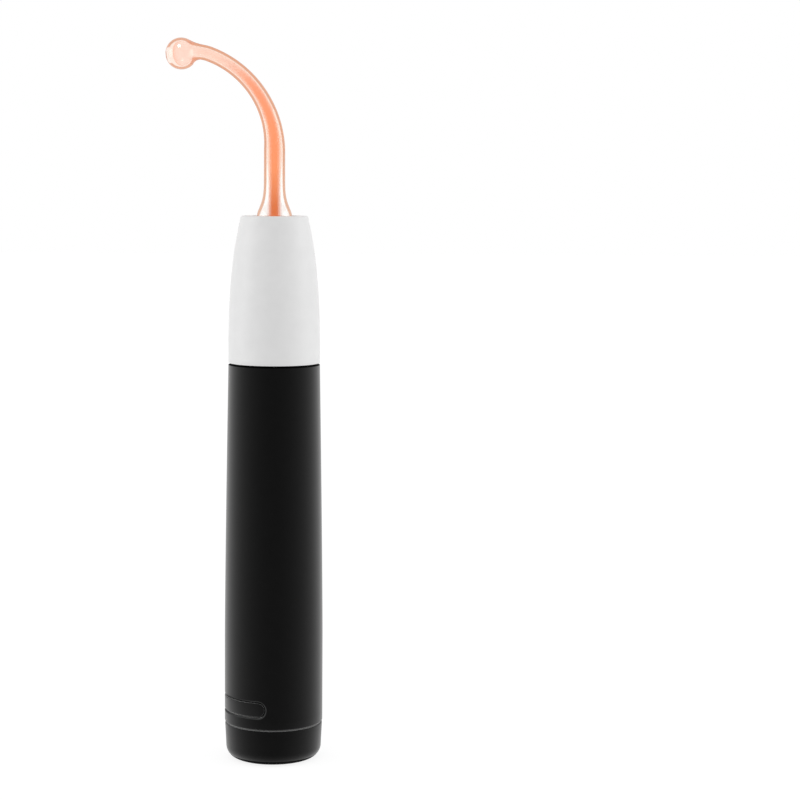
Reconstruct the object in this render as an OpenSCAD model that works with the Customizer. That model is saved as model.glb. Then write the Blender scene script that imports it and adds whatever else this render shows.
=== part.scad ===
// Cordless high frequency facial wand with a bent glass electrode, in millimetres.
// The wand stands on its dial. Z runs up its axis, and the electrode leans towards -X.

/* [Barrel] */
// Largest diameter of the barrel
barrel_d = 30.4; // [28:0.1:33]
// Diameter of the barrel where it meets the nose
barrel_top_d = 28.1; // [26:0.1:30]
// Length of the barrel
barrel_len = 111.8; // [100:0.2:124]
// Length of the barrel's straight stretch
barrel_straight = 26.8; // [25:0.5:40]
// How late the barrel's taper sets in
barrel_ease = 1.3; // [1.1:0.1:2.4]
// Wall of the barrel
barrel_wall = 1.8; // [1.6:0.1:2]
// Gap between the barrel and the dial
seam_gap = 0.4; // [0.3:0.05:0.8]
// Chamfer on both sides of that gap
seam_chamfer = 0.25; // [0.1:0.05:0.4]

/* [Nose] */
// Length of the nose cone
nose_len = 45; // [43:0.5:48]
// Diameter of the nose cone at its tip
nose_tip_d = 20.4; // [20.2:0.1:23]
// How late the nose cone's curve sets in
nose_ease = 2.8; // [2:0.1:3]
// Wall of the nose cone
nose_wall = 2; // [1.6:0.1:2.1]
// Thickness of the lip round the electrode
nose_lip = 3.2; // [2.5:0.1:4]
// Rounding of the nose cone's tip
nose_round = 0.7; // [0.3:0.1:1.2]
// Length of the spigot that seats in the barrel
spigot_len = 6; // [5:0.5:8]
// Wall of the spigot
spigot_wall = 1.6; // [1.4:0.1:1.8]
// Height of the snap bead on the spigot
bead_h = 0.2; // [0.1:0.05:0.3]

/* [Electrode] */
// Diameter of the glass foot that plugs in
foot_d = 10.8; // [10.4:0.1:11]
// Length of the foot inside the handle
foot_len = 32; // [31:0.25:32.5]
// Diameter of the glass stem
stem_d = 6.5; // [6:0.1:7]
// Height over which the foot narrows to the stem
flare_len = 9.9; // [8:0.1:12]
// Height of straight glass from the nose to the bend
stem_len = 20.5; // [18:0.5:30]
// Radius of the main bend, to the middle of the glass
bend_r = 30; // [26:0.5:34]
// Angle of the main bend
bend_a = 70; // [55:1:75]
// Radius of the tighter bend behind the ball
tip_bend_r = 11.25; // [10:0.25:14]
// Angle of that bend
tip_bend_a = 28.6; // [20:0.2:34]
// Diameter of the glass behind the ball
neck_d = 4.6; // [4.2:0.1:5]
// Diameter of the ball
ball_d = 9.7; // [9:0.1:11]
// Radius of the hollow between neck and ball
neck_fillet = 4.7; // [3:0.1:6]
// Wall of the glass
glass_wall = 0.9; // [0.7:0.05:1.1]
// Length of the metal cap on the foot
cap_len = 12; // [10:0.5:14]
// Wall of the metal cap
cap_wall = 0.5; // [0.4:0.05:0.6]

/* [Grip and contact] */
// Wall of the grip bush
bush_wall = 2; // [1.6:0.1:2]
// Length of the grip bush
bush_len = 13; // [10:0.5:14]
// Radial running clearance of the glass and the bush
running_fit = 0.05; // [0.03:0.01:0.08]
// Wall of the electrode socket
socket_wall = 1.1; // [0.9:0.1:1.3]
// Thickness of the floor under the electrode
socket_floor = 4.4; // [4:0.1:5]
// Diameter of the contact plunger's body
plunger_d = 4.3; // [4:0.1:4.6]
// Diameter of the plunger's tip
plunger_tip_d = 3.4; // [3:0.1:3.5]
// Length of the contact guide
guide_len = 12.5; // [12:0.1:12.8]
// Wall of the contact guide
guide_wall = 0.8; // [0.6:0.1:0.9]
// Wire diameter of the contact spring
spring_wire = 0.45; // [0.35:0.05:0.5]
// Turns of the contact spring
spring_turns = 5; // [4:1:6]

/* [Coil] */
// Height of the coil cup
cup_h = 31.4; // [28:0.1:33]
// Gap between the coil cup and the contact guide
cup_gap = 0.95; // [0.8:0.05:2]
// Wall of the coil cup
cup_wall = 1; // [0.8:0.1:1.2]
// Diameter of the ferrite core
core_d = 7.2; // [6.4:0.1:7.6]
// Thickness of the coil former's tube and fins
former_wall = 0.9; // [0.7:0.05:1.1]
// Height of the primary's chamber
primary_h = 6; // [5:0.25:7]
// Chambers of the secondary
secondary_chambers = 4; // [3:1:5]
// Depth of the secondary winding
secondary_depth = 3; // [2.5:0.1:3.5]
// Depth of the primary winding
primary_depth = 1.6; // [1:0.1:2]

/* [Battery and boards] */
// How much smaller the cell's radius is than the chassis's
cell_inset = 2.85; // [2.7:0.05:3.2]
// Gap over the cell's upper tab
cell_gap = 0.5; // [0.3:0.1:1.5]
// How far the cell sits off the axis
cell_off = 1.4; // [1.2:0.1:1.5]
// Thickness of the foam pad under the cell
pad_t = 1; // [0.8:0.1:1.5]
// Wall of the chassis
chassis_wall = 1.2; // [1:0.1:1.4]
// Thickness of the chassis's two bulkheads
bulkhead_t = 1.6; // [1.4:0.1:2]
// Gap between the main board's long edges and the outside of the chassis
board_edge = 0.74; // [0.6:0.01:1]
// Thickness of both boards
board_t = 1; // [0.8:0.1:1]
// Windows along each side of the chassis
window_count = 3; // [2:1:4]

/* [Charging port] */
// Height of the port above the barrel's lower rim
port_up = 6.15; // [6:0.05:6.5]
// Angle of the port from the front, round to the left
port_turn = 60; // [58:1:64]
// Length of the port cover and its anchor round the barrel
cover_len = 26.5; // [24:0.5:27]
// Height of the port cover
cover_h = 4.3; // [4.1:0.1:4.4]
// Groove round the port cover
cover_gap = 0.3; // [0.2:0.05:0.35]
// Thickness of the port cover
cover_t = 0.7; // [0.6:0.05:0.8]
// Length of the anchored end
anchor_len = 3.9; // [3.6:0.1:4.4]
// Width of the charging socket's shell
shell_w = 8.94; // [8.8:0.02:9]
// Height of the charging socket's shell
shell_h = 3.26; // [3.2:0.02:3.3]
// Depth of the charging socket's shell
shell_len = 7.35; // [6.5:0.05:7.9]

/* [Dial] */
// Height of the dial
dial_h = 11.2; // [10.6:0.1:12.4]
// How far the dial's rim lies inside the barrel's
dial_inset = 0.1; // [0:0.05:0.3]
// Radius of the dial's rounded lower edge
dial_round = 4; // [3:0.25:5]
// Taper of the dial's side
dial_taper = 0.35; // [0.2:0.05:0.6]
// Wall of the dial
dial_wall = 2; // [1.6:0.1:2]
// Floor of the dial
dial_floor = 2.2; // [1.8:0.1:2.4]
// Ribs inside the dial
dial_ribs = 8; // [4:1:12]
// Diameter of the control's shaft
shaft_d = 6; // [5.6:0.1:6.2]
// Diameter of the control's case
case_d = 13.4; // [13:0.1:14]
// Height of the control's case
case_h = 6.2; // [6.1:0.05:6.4]
// Thickness of the tail plate
plate_t = 1.6; // [1.4:0.1:1.8]
// Length of the tail screws
screw_len = 7.5; // [6:0.25:7.6]

/* [Hidden] */

$fn = 96;
// Overrun of cutting shapes
cut = 1;
// Gap between parts that are pressed or stacked together
seat = 0.05;
// Loose gap between parts that are only placed
loose = 0.2;
// Least step where a round end runs into a flat face
ease = 0.02;

// Heights of the outer shells
barrel_r = barrel_d / 2;
barrel_top_r = barrel_top_d / 2;
barrel_z0 = dial_h + seam_gap;
barrel_z1 = barrel_z0 + barrel_len;
taper_z = barrel_z0 + barrel_straight;
nose_z1 = barrel_z1 + nose_len;
bore_r = barrel_r - barrel_wall;
bore_top_r = barrel_top_r - barrel_wall;

// Port and its cover
port_z = barrel_z0 + port_up;
deg_per_mm = 180 / (PI * barrel_r);
cover_near = port_turn - cover_len / 2 * deg_per_mm;
cover_far = port_turn + cover_len / 2 * deg_per_mm;
hinge_turn = cover_far - anchor_len * deg_per_mm;
hinge_gap = 0.12;
anchor_turn = cover_far - (cover_gap + cover_h / 2) * deg_per_mm;
anchor_stem_r = 1.1;
pocket_h = cover_h + 2 * cover_gap;
pocket_inset = pocket_h / 2 * deg_per_mm;
cover_r = barrel_r - cover_t;
pocket_r = cover_r - loose;
pocket_end_r = sqrt(pow(pocket_r, 2) - pow(pocket_h / 2, 2)) - ease;
shell_front = sqrt(pow(pocket_r - seat, 2) - pow(shell_w / 2, 2));
shell_wall = 0.3;

// Tail plate, tail board and control
plate_z0 = barrel_z0 + 0.2;
plate_z1 = plate_z0 + plate_t;
plate_r = bore_r - 0.15;
board_z1 = port_z - shell_h / 2;
board_z0 = board_z1 - board_t;
tail_board_r = bore_r - 0.6;
case_z1 = board_z0 - 0.15;
case_z0 = case_z1 - case_h;
case_r = case_d / 2;
dish_wall = 1;
dish_in = case_r + 0.15;
dish_floor = 1.2;
dish_z0 = case_z0 - seat - dish_floor;
shaft_r = shaft_d / 2;
shaft_flat = 0.75;
hub_z1 = dish_z0 - 0.5;
hub_r = shaft_r + 2;
shaft_z0 = dial_floor + 0.7;
bushing_t = 1.5;
flange_z0 = case_z0 + bushing_t + 0.1;
flange_t = 1;
flange_r = case_r - 1.7;
track_t = 1.2;
track_z0 = case_z1 - track_t - 0.5;
pilot_r = 1.5;
terminal_r = 0.4;
terminal_ring = case_r - 1.9;

// Screws and the bosses that take them
screw_turns = [150, 330];
screw_ring = bore_r - 2;
boss_r = 2.2;
boss_len = 7;
boss_z1 = plate_z1 + boss_len;
screw_r = 0.85;
screw_head_r = 1.6;
screw_head_h = 0.9;
screw_z0 = plate_z0 + 0.1;

// Electrode and what holds it
foot_r = foot_d / 2;
foot_z0 = nose_z1 - foot_len;
cap_z1 = foot_z0 + cap_len;
cap_floor = 0.8;
neck_in_cap = foot_r - cap_wall - seat;
glass_z0 = foot_z0 + cap_floor + 0.3;
stem_r = stem_d / 2;
stem_z1 = nose_z1 + stem_len;
flare_fall = 0.4;
flare_power = 1.7;
neck_r = neck_d / 2;
ball_r = ball_d / 2;
tip_straight = 3;
taper_power = 2.2;
lip_r = foot_r + 0.7;
lip_z0 = nose_z1 - nose_lip;
bush_r = foot_r + running_fit + bush_wall;
bush_z1 = lip_z0 - 0.3;
bush_z0 = bush_z1 - bush_len;
bush_lips = 3;
socket_z1 = lip_z0 - 0.1;
socket_in = foot_r + 0.3;
socket_r = bush_r + running_fit + socket_wall;
socket_floor_z1 = foot_z0 - 0.1;
socket_floor_z0 = socket_floor_z1 - socket_floor;
spigot_r = bore_top_r - seat;
spigot_in = spigot_r - spigot_wall;
skirt_r = spigot_in - 0.45;
skirt_wall = 1.4;
plunger_r = plunger_d / 2;
plunger_tip_r = plunger_tip_d / 2;
guide_in = plunger_r + running_fit;
guide_r = guide_in + guide_wall;
guide_z1 = socket_floor_z1 - 0.4;
guide_z0 = guide_z1 - guide_len;
guide_flange_r = guide_r + 0.8;
guide_flange_t = 1.2;
guide_mouth = 0.6;
spring_len = 5.1;
plunger_travel = 1.7;
plunger_z1 = socket_floor_z1 + 0.05;
spring_z0 = guide_z0 + guide_wall + seat;
spring_z1 = spring_z0 + spring_len;
plunger_z0 = spring_z1 + seat;
shoulder_z = guide_z1 - guide_mouth - plunger_travel;

// Coil, chassis and cell, stacked from the electrode's contact down to the tail
cup_r = spigot_in - 0.35;
cup_in = cup_r - cup_wall;
cup_z1 = guide_z0 - cup_gap;
cup_z0 = cup_z1 - cup_h;
cup_floor = 1.2;
cup_rim = 1;
collar_t = 1;
collar_h = 2;
leg_turns = [15, 105, 205, 285];
leg_r = 1.4;
leg_ring = bore_r - 2.6;
chassis_r = min(bore_r, bore_top_r) - loose;
chassis_z0 = boss_z1 + 0.3;
chassis_z1 = cup_z0 - seat;
bay_z0 = chassis_z0 + bulkhead_t;
bay_z1 = chassis_z1 - bulkhead_t;
tab_t = 0.2;
tab_w = 5;
cell_z0 = bay_z0 + seat + pad_t + seat + tab_t + seat;
cell_z1 = bay_z1 - cell_gap - tab_t - seat;
cell_r = chassis_r - cell_inset;
cell_y = -cell_off;
board_y0 = cell_y + cell_r + 0.5;
board_y1 = board_y0 + board_t;
board_w = 2 * (sqrt(pow(chassis_r, 2) - pow(board_y1, 2)) - board_edge);
main_board_z0 = bay_z0 + 2.1;
main_board_z1 = bay_z1 - 2.5;
rail_in = board_w / 2 - 0.4;
rail_t = 1;
wire_r = 0.35;
link_y = board_y1 + seat + wire_r;

former_r = cup_in - loose;
former_z0 = cup_z0 + cup_floor + seat;
former_z1 = cup_z1 - cup_rim;
core_r = core_d / 2;
former_tube_r = core_r + seat + former_wall;
primary_z0 = former_z0 + former_wall;
primary_z1 = primary_z0 + primary_h;
chamber_pitch = (former_z1 - primary_z1) / secondary_chambers;
lead_slot_w = 6;
lead_x = 1.5;
lead_z = primary_z0 + primary_h / 2;
lead_y = max(cup_in, board_y1) + seat + wire_r;

// Radius of the barrel at a height
function barrel_at(z) =
    z < taper_z ? barrel_r
    : barrel_r - (barrel_r - barrel_top_r) * pow((z - taper_z) / (barrel_z1 - taper_z), barrel_ease);

// Radius of the nose cone at a height
function nose_at(z) =
    barrel_top_r - (barrel_top_r - nose_tip_d / 2) * pow((z - barrel_z1) / nose_len, nose_ease);

// Radius of the glass between the nose and the stem
function flare_at(z) =
    stem_r + (foot_r - stem_r) * exp(-pow((z - nose_z1) / flare_len / flare_fall, flare_power));

// Points on an arc
function arc(x, y, r, a0, a1, n) =
    [for (i = [0:n]) let (a = a0 + (a1 - a0) * i / n) [x + r * cos(a), y + r * sin(a)]];

// Stadium outline, with full round ends
module stadium(w, h) {
    square([w - h, h], center = true);
    for (x = [-1, 1]) translate([x * (w - h) / 2, 0]) circle(d = h);
}

// Puts +X at an angle from the front, turning to the left
module toward(turn) {
    rotate([0, 0, -90 - turn]) children();
}

// Wedge between two angles, from one radius to another
module wedge(turn0, turn1, r0, r1, h) {
    toward(turn1) rotate_extrude(angle = turn1 - turn0) translate([r0, -h / 2]) square([r1 - r0, h]);
}

// Strip on the wall of a ring between two angles, with a full round end where asked
module strip(turn0, turn1, r0, r1, h, ends) {
    inset = h / 2 * deg_per_mm;
    intersection() {
        wedge(turn0 - ends[0] * inset, turn1 + ends[1] * inset, r0, r1, h + cut);
        union() {
            wedge(turn0 + ends[0] * inset, turn1 - ends[1] * inset, r0 - 2, r1 + 2, h);
            if (ends[0] == 1) toward(turn0 + inset) rotate([0, 90, 0]) cylinder(d = h - ease, h = r1 + 2);
            if (ends[1] == 1) toward(turn1 - inset) rotate([0, 90, 0]) cylinder(d = h - ease, h = r1 + 2);
        }
    }
}

// Closed skin over rings of points, capped at both ends
module skin(rings) {
    n = len(rings[0]);
    m = len(rings);
    sides = [
        for (i = [0:m - 2], j = [0:n - 1])
            let (a = i * n + j, b = i * n + (j + 1) % n)
            each [[a, a + n, b], [b, a + n, b + n]]
    ];
    ends = [
        for (j = [1:n - 2])
            each [[0, j, j + 1], [(m - 1) * n, (m - 1) * n + j + 1, (m - 1) * n + j]]
    ];
    polyhedron([for (ring = rings) each ring], concat(sides, ends));
}

// Straight run of wire between two points
module wire(from, to, r) {
    run = to - from;
    flat = norm([run[0], run[1]]);
    translate(from) rotate([0, atan2(flat, run[2]), atan2(run[1], run[0])]) cylinder(r = r, h = norm(run));
}

// Barrel: one tube with a pocket and window for the port and two screw bosses
module barrel() {
    steps = 10;
    outer = [for (i = [0:steps]) let (z = taper_z + (barrel_z1 - taper_z) * i / steps) [barrel_at(z), z]];
    land_z = barrel_z1 - spigot_len - 1;
    inner = [for (i = [steps - 1:-1:0]) let (z = taper_z + (land_z - taper_z) * i / steps)
        [barrel_at(z) - barrel_wall, z]];
    bead_z = barrel_z1 - spigot_len / 2;
    color("#1c1c1d") difference() {
        union() {
            difference() {
                rotate_extrude() polygon(concat(
                    [[bore_r, barrel_z0], [barrel_r - seam_chamfer, barrel_z0]],
                    [[barrel_r, barrel_z0 + 2 * seam_chamfer]],
                    outer,
                    [[bore_top_r, barrel_z1], [bore_top_r, bead_z + 2 * bead_h]],
                    [[bore_top_r + bead_h + seat, bead_z], [bore_top_r, bead_z - 2 * bead_h]],
                    [[bore_top_r, land_z]],
                    inner
                ));
                translate([0, 0, port_z]) {
                    wedge(cover_near + pocket_inset, cover_far - pocket_inset,
                        pocket_r, barrel_r + cut, pocket_h);
                    for (turn = [cover_near + pocket_inset, cover_far - pocket_inset])
                        toward(turn) translate([pocket_end_r, 0, 0]) rotate([0, 90, 0])
                            cylinder(d = pocket_h - ease, h = barrel_r + cut - pocket_end_r);
                    toward(port_turn) translate([bore_r - 3, 0, 0]) rotate([90, 0, 90])
                        linear_extrude(4) stadium(shell_w + 2 * loose, shell_h + 2 * loose);
                    toward(anchor_turn) rotate([0, 90, 0])
                        cylinder(r = anchor_stem_r + seat, h = barrel_r + cut);
                }
            }
            for (turn = screw_turns) toward(turn) intersection() {
                translate([screw_ring, 0, plate_z1]) {
                    cylinder(r = boss_r, h = boss_len);
                    translate([0, -boss_r / 2, 0]) cube([boss_r + 0.4, boss_r, boss_len]);
                }
                cylinder(r = bore_r + 0.3, h = boss_z1 + cut);
            }
        }
        for (turn = screw_turns) toward(turn) translate([screw_ring, 0, plate_z1 - cut])
            cylinder(r = screw_r + seat, h = boss_len + cut - 0.6);
    }
}

// Nose cone: white shell with a lip round the electrode and a spigot for the barrel
module nose_cone() {
    steps = 12;
    round_z = nose_z1 - nose_round;
    outer = [for (i = [0:steps]) let (z = barrel_z1 + (round_z - barrel_z1) * i / steps) [nose_at(z), z]];
    inner_z0 = barrel_z1 + 3.5;
    inner = [for (i = [steps:-1:0]) let (z = inner_z0 + (lip_z0 - inner_z0) * i / steps)
        [nose_at(z) - nose_wall, z]];
    spigot_z0 = barrel_z1 - spigot_len;
    bead_z = barrel_z1 - spigot_len / 2;
    lead_in = 0.4;
    color("#ececec") rotate_extrude() polygon(concat(
        outer,
        arc(nose_at(round_z) - nose_round, round_z, nose_round, 15, 90, 5),
        [[lip_r + lead_in, nose_z1], [lip_r, nose_z1 - lead_in], [lip_r, lip_z0]],
        inner,
        [[spigot_in, barrel_z1 + 2], [spigot_in, spigot_z0], [spigot_r - lead_in, spigot_z0]],
        [[spigot_r, spigot_z0 + lead_in], [spigot_r, bead_z - 2 * bead_h]],
        [[spigot_r + bead_h, bead_z], [spigot_r, bead_z + 2 * bead_h], [spigot_r, barrel_z1]]
    ));
}

// Dial: the hollow tail that turns, with a hub for the control's shaft
module dial() {
    rim_r = barrel_r - dial_inset;
    low_r = rim_r - dial_taper;
    in_r = rim_r - dial_wall;
    rib_t = 1;
    rib_z1 = hub_z1 - 1;
    in_round = dial_round - 1;
    color("#1c1c1d") {
        difference() {
            rotate_extrude() polygon(concat(
                [[0, 0]],
                arc(low_r - dial_round, dial_round, dial_round, -90, 0, 8),
                [[rim_r, dial_h - 2 * seam_chamfer], [rim_r - seam_chamfer, dial_h], [in_r, dial_h]],
                arc(in_r - in_round, dial_floor + in_round, in_round, 0, -90, 6),
                [[hub_r, dial_floor], [hub_r, hub_z1], [0, hub_z1]]
            ));
            translate([0, 0, shaft_z0 - 0.3]) d_shaft(shaft_r + 0.02, hub_z1);
        }
        difference() {
            for (i = [0:dial_ribs - 1]) rotate([0, 0, i * 360 / dial_ribs])
                translate([hub_r - 0.3, -rib_t / 2, dial_floor - 0.3])
                    cube([in_r - in_round - hub_r + 1.2, rib_t, rib_z1 - dial_floor + 0.3]);
        }
    }
}

// Round bar with one flat
module d_shaft(r, h) {
    difference() {
        cylinder(r = r, h = h);
        translate([r - shaft_flat, -r, -cut]) cube([2 * r, 2 * r, h + 2 * cut]);
    }
}

// Port cover: soft flap that lies in the pocket, with a plug for the socket's mouth
module port_cover() {
    plug_gap = 0.33;
    plug_in = 0.7;
    plug_w = shell_w - 2 * shell_wall - 2 * plug_gap;
    plug_h = shell_h - 2 * shell_wall - 2 * plug_gap;
    color("#202021") translate([0, 0, port_z]) {
        strip(cover_near + cover_gap * deg_per_mm, hinge_turn - hinge_gap * deg_per_mm,
            cover_r, barrel_r, cover_h, [1, 0]);
        toward(port_turn) translate([shell_front - plug_in, 0, 0]) rotate([90, 0, 90])
            linear_extrude(cover_r + 0.2 - shell_front + plug_in) stadium(plug_w, plug_h);
    }
}

// Anchored end of the port cover, with its stem and head through the barrel's wall
module cover_anchor() {
    head_r = 1.6;
    head_t = 0.8;
    head_top = bore_r - 0.4;
    color("#202021") translate([0, 0, port_z]) {
        strip(hinge_turn + hinge_gap * deg_per_mm, cover_far - cover_gap * deg_per_mm,
            pocket_r + seat, barrel_r, cover_h, [0, 1]);
        toward(anchor_turn) rotate([0, 90, 0]) {
            translate([0, 0, head_top - 0.1]) cylinder(r = anchor_stem_r, h = pocket_r + 0.4 - head_top);
            translate([0, 0, head_top - head_t]) cylinder(r = head_r, h = head_t);
        }
    }
}

// Path of the bent glass: distance along it to heading and to place
bend_len = bend_r * bend_a * PI / 180;
tip_bend_len = tip_bend_r * tip_bend_a * PI / 180;
ball_s = bend_len + tip_bend_len + tip_straight;
function heading(s) =
    s < 0 ? 0
    : s < bend_len ? s / bend_r * 180 / PI
    : s < bend_len + tip_bend_len ? bend_a + (s - bend_len) / tip_bend_r * 180 / PI
    : bend_a + tip_bend_a;
function path(s) =
    let (
        h = heading(s),
        first = [bend_r * (cos(min(h, bend_a)) - 1), bend_r * sin(min(h, bend_a))],
        second = h > bend_a ? tip_bend_r * [cos(h) - cos(bend_a), sin(h) - sin(bend_a)] : [0, 0],
        rest = s < 0 ? s : max(0, s - bend_len - tip_bend_len),
        at = first + second + rest * [-sin(h), cos(h)]
    )
    [at[0], 0, stem_z1 + at[1]];

// Radius of the glass along the path: stem, tapering arm, hollow fillet and ball
fillet_s = sqrt(pow(ball_r + neck_fillet, 2) - pow(neck_r + neck_fillet, 2));
touch_s = fillet_s * ball_r / (ball_r + neck_fillet);
function arm_at(s) = neck_r + (stem_r - neck_r) * pow(1 - min(1, max(0, s) / (ball_s - fillet_s)), taper_power);
function glass_at(s) =
    let (d = ball_s - s)
    d > fillet_s ? arm_at(s)
    : d > touch_s ? neck_r + neck_fillet - sqrt(pow(neck_fillet, 2) - pow(fillet_s - d, 2))
    : sqrt(max(0.01, pow(ball_r, 2) - d * d));

// Rings of the bent glass, drawn in by a wall where it is the hollow inside
function glass_rings(wall, start, sides) =
    let (
        arm = [for (i = [0:20]) start + (ball_s - fillet_s - start) * i / 20],
        fillet = [for (i = [1:5]) ball_s - fillet_s + (fillet_s - touch_s) * i / 5],
        first = acos(touch_s / ball_r),
        ball = [for (i = [1:9]) ball_s - (ball_r - wall) * cos(first + (174 - first) * i / 9)]
    )
    [
        for (s = concat(arm, fillet, ball))
            let (
                r = s > ball_s - touch_s + 0.01
                    ? sqrt(pow(ball_r - wall, 2) - pow(s - ball_s, 2)) : glass_at(s) - wall,
                h = heading(s),
                at = path(s)
            )
            [for (j = [0:sides - 1]) at + r * (cos(j * 360 / sides) * [cos(h), 0, sin(h)]
                + sin(j * 360 / sides) * [0, 1, 0])]
    ];

// Electrode glass: hollow foot, flare, stem, bend and ball in one blown tube
module electrode_glass() {
    steps = 12;
    flare = [for (i = [0:steps]) let (z = nose_z1 + flare_len * i / steps) [flare_at(z), z]];
    flare_in = [for (p = flare) [p[0] - glass_wall, p[1]]];
    end_round = 1.6;
    press_t = 1.8;
    color("#f6b48e", 0.5) difference() {
        union() {
            rotate_extrude() polygon(concat(
                [[0, glass_z0]],
                arc(neck_in_cap - end_round, glass_z0 + end_round, end_round, -90, 0, 4),
                [[neck_in_cap, cap_z1 + seat], [foot_r, cap_z1 + 0.5]],
                flare,
                [[stem_r, stem_z1], [0, stem_z1]]
            ));
            skin(glass_rings(0, -0.5, 24));
        }
        rotate_extrude() polygon(concat(
            [[0, glass_z0 + press_t]],
            [[neck_in_cap - glass_wall, glass_z0 + press_t + 1], [neck_in_cap - glass_wall, cap_z1]],
            [[foot_r - glass_wall, cap_z1 + 1]],
            flare_in,
            [[stem_r - glass_wall, stem_z1], [0, stem_z1]]
        ));
        skin(glass_rings(glass_wall, -0.6, 20));
        translate([0, 0, glass_z0 - cut]) cylinder(r = lead_wire_r, h = press_t + 2 * cut);
    }
}

lead_wire_r = 0.4;

// Electrode cap: metal cup on the glass foot
module electrode_cap() {
    color("#c9c4b8") translate([0, 0, foot_z0]) difference() {
        union() {
            cylinder(r1 = foot_r - 0.4, r2 = foot_r, h = 0.4);
            translate([0, 0, 0.4]) cylinder(r = foot_r, h = cap_len - 0.4);
        }
        translate([0, 0, cap_floor]) cylinder(r = foot_r - cap_wall, h = cap_len);
    }
}

// Electrode lead: wire from the cap through the glass to a small plate in the gas
module electrode_lead() {
    plate_z = glass_z0 + 9;
    color("#9a9a9c") {
        translate([0, 0, foot_z0 + cap_floor]) cylinder(r = lead_wire_r, h = plate_z - foot_z0 - cap_floor);
        translate([0, 0, plate_z]) cylinder(r = 1.5, h = 6);
    }
}

// Grip bush: soft ring with inner lips that holds the glass and turns with it
module grip_bush() {
    in_r = foot_r + running_fit;
    pitch = bush_len / bush_lips;
    groove = 0.6;
    color("#d8d8d4") difference() {
        translate([0, 0, bush_z0]) cylinder(r = bush_r, h = bush_len);
        translate([0, 0, bush_z0 - cut]) cylinder(r = in_r, h = bush_len + 2 * cut);
        for (i = [0:bush_lips - 1]) translate([0, 0, bush_z0 + pitch * (i + 0.25)])
            cylinder(r = in_r + groove, h = pitch / 2);
    }
}

// Electrode socket: insulating tube that seats the foot, the bush and the contact
module electrode_socket() {
    bush_bay = bush_r + running_fit;
    skirt_z0 = cup_z1 + seat;
    shoulder = 0.8;
    color("#f2f0ea") difference() {
        rotate_extrude() polygon([
            [skirt_r - skirt_wall, skirt_z0], [skirt_r, skirt_z0],
            [skirt_r, socket_floor_z1], [socket_r, socket_floor_z1 + shoulder],
            [socket_r, socket_z1], [bush_bay, socket_z1],
            [bush_bay, bush_z0 - 0.1], [socket_in, bush_z0 - 0.1],
            [socket_in, socket_floor_z1], [guide_flange_r + seat, socket_floor_z1],
            [guide_flange_r + seat, guide_z1 - guide_flange_t - seat],
            [guide_r + seat, guide_z1 - guide_flange_t - seat],
            [guide_r + seat, socket_floor_z0], [skirt_r - skirt_wall, socket_floor_z0]
        ]);
        for (i = [0:3]) rotate([0, 0, 45 + i * 90]) translate([socket_r + 1.4, 0, socket_floor_z0 - cut])
            cylinder(r = 1, h = socket_floor + 3);
    }
}

// Contact guide: brass cup that the plunger slides in
module contact_guide() {
    color("#b89a56") rotate_extrude() polygon([
        [0, guide_z0], [guide_r, guide_z0],
        [guide_r, guide_z1 - guide_flange_t], [guide_flange_r, guide_z1 - guide_flange_t],
        [guide_flange_r, guide_z1], [plunger_tip_r + running_fit, guide_z1],
        [plunger_tip_r + running_fit, guide_z1 - guide_mouth], [guide_in, guide_z1 - guide_mouth],
        [guide_in, guide_z0 + guide_wall], [0, guide_z0 + guide_wall]
    ]);
}

// Contact plunger: brass pin that presses on the electrode's cap
module contact_plunger() {
    dome = 0.6;
    color("#c4a45c") rotate_extrude() polygon(concat(
        [[0, plunger_z0], [plunger_r, plunger_z0], [plunger_r, shoulder_z], [plunger_tip_r, shoulder_z]],
        [[plunger_tip_r, plunger_z1 - dome]],
        [for (i = [1:5]) let (a = i * 18) [plunger_tip_r * cos(a), plunger_z1 - dome + dome * sin(a)]]
    ));
}

// Contact spring: wire wound between the guide's floor and the plunger
module contact_spring() {
    wire = spring_wire / 2;
    coil_r = guide_in - 0.2 - wire;
    low = spring_z0 + wire;
    rise = spring_z1 - spring_z0 - spring_wire;
    steps = spring_turns * 12;
    sides = 6;
    color("#b8b8b8") skin([
        for (i = [0:steps])
            let (a = i * 30, at = [coil_r * cos(a), coil_r * sin(a), low + rise * i / steps])
            [for (j = [0:sides - 1]) let (b = j * 360 / sides)
                at + wire * (cos(b) * [cos(a), sin(a), 0] + sin(b) * [0, 0, 1])]
    ]);
}

// Coil cup: insulating pot round the transformer
module coil_cup() {
    color("#3b3b40") difference() {
        translate([0, 0, cup_z0]) cylinder(r = cup_r, h = cup_h);
        translate([0, 0, cup_z0 + cup_floor]) cylinder(r = cup_in, h = cup_h);
        translate([-lead_slot_w / 2, 0, cup_z0 - cut])
            cube([lead_slot_w, cup_r + cut, lead_z + wire_r + loose + cut - cup_z0]);
        translate([0, 0, cup_z0 - cut]) cylinder(r = 2, h = cup_floor + 2 * cut);
    }
}

// Coil former: tube with fins that part the windings
module coil_former() {
    fins = [former_z0, for (i = [0:secondary_chambers]) primary_z1 + i * chamber_pitch - former_wall];
    notch = 2;
    color("#e6dfcc") difference() {
        union() {
            translate([0, 0, former_z0]) cylinder(r = former_tube_r, h = former_z1 - former_z0);
            for (z = fins) translate([0, 0, max(z, former_z0)]) cylinder(r = former_r, h = former_wall);
        }
        translate([0, 0, former_z0 - cut]) cylinder(r = core_r + seat, h = former_z1 - former_z0 + 2 * cut);
        translate([-notch / 2, -former_r - cut, former_z1 - former_wall - cut])
            cube([notch, former_r + cut - former_tube_r - 1, former_wall + 2 * cut]);
    }
}

// Ferrite core: rod in the former
module ferrite_core() {
    color("#46464a") translate([0, 0, former_z0]) cylinder(r = core_r, h = former_z1 - former_z0);
}

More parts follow.
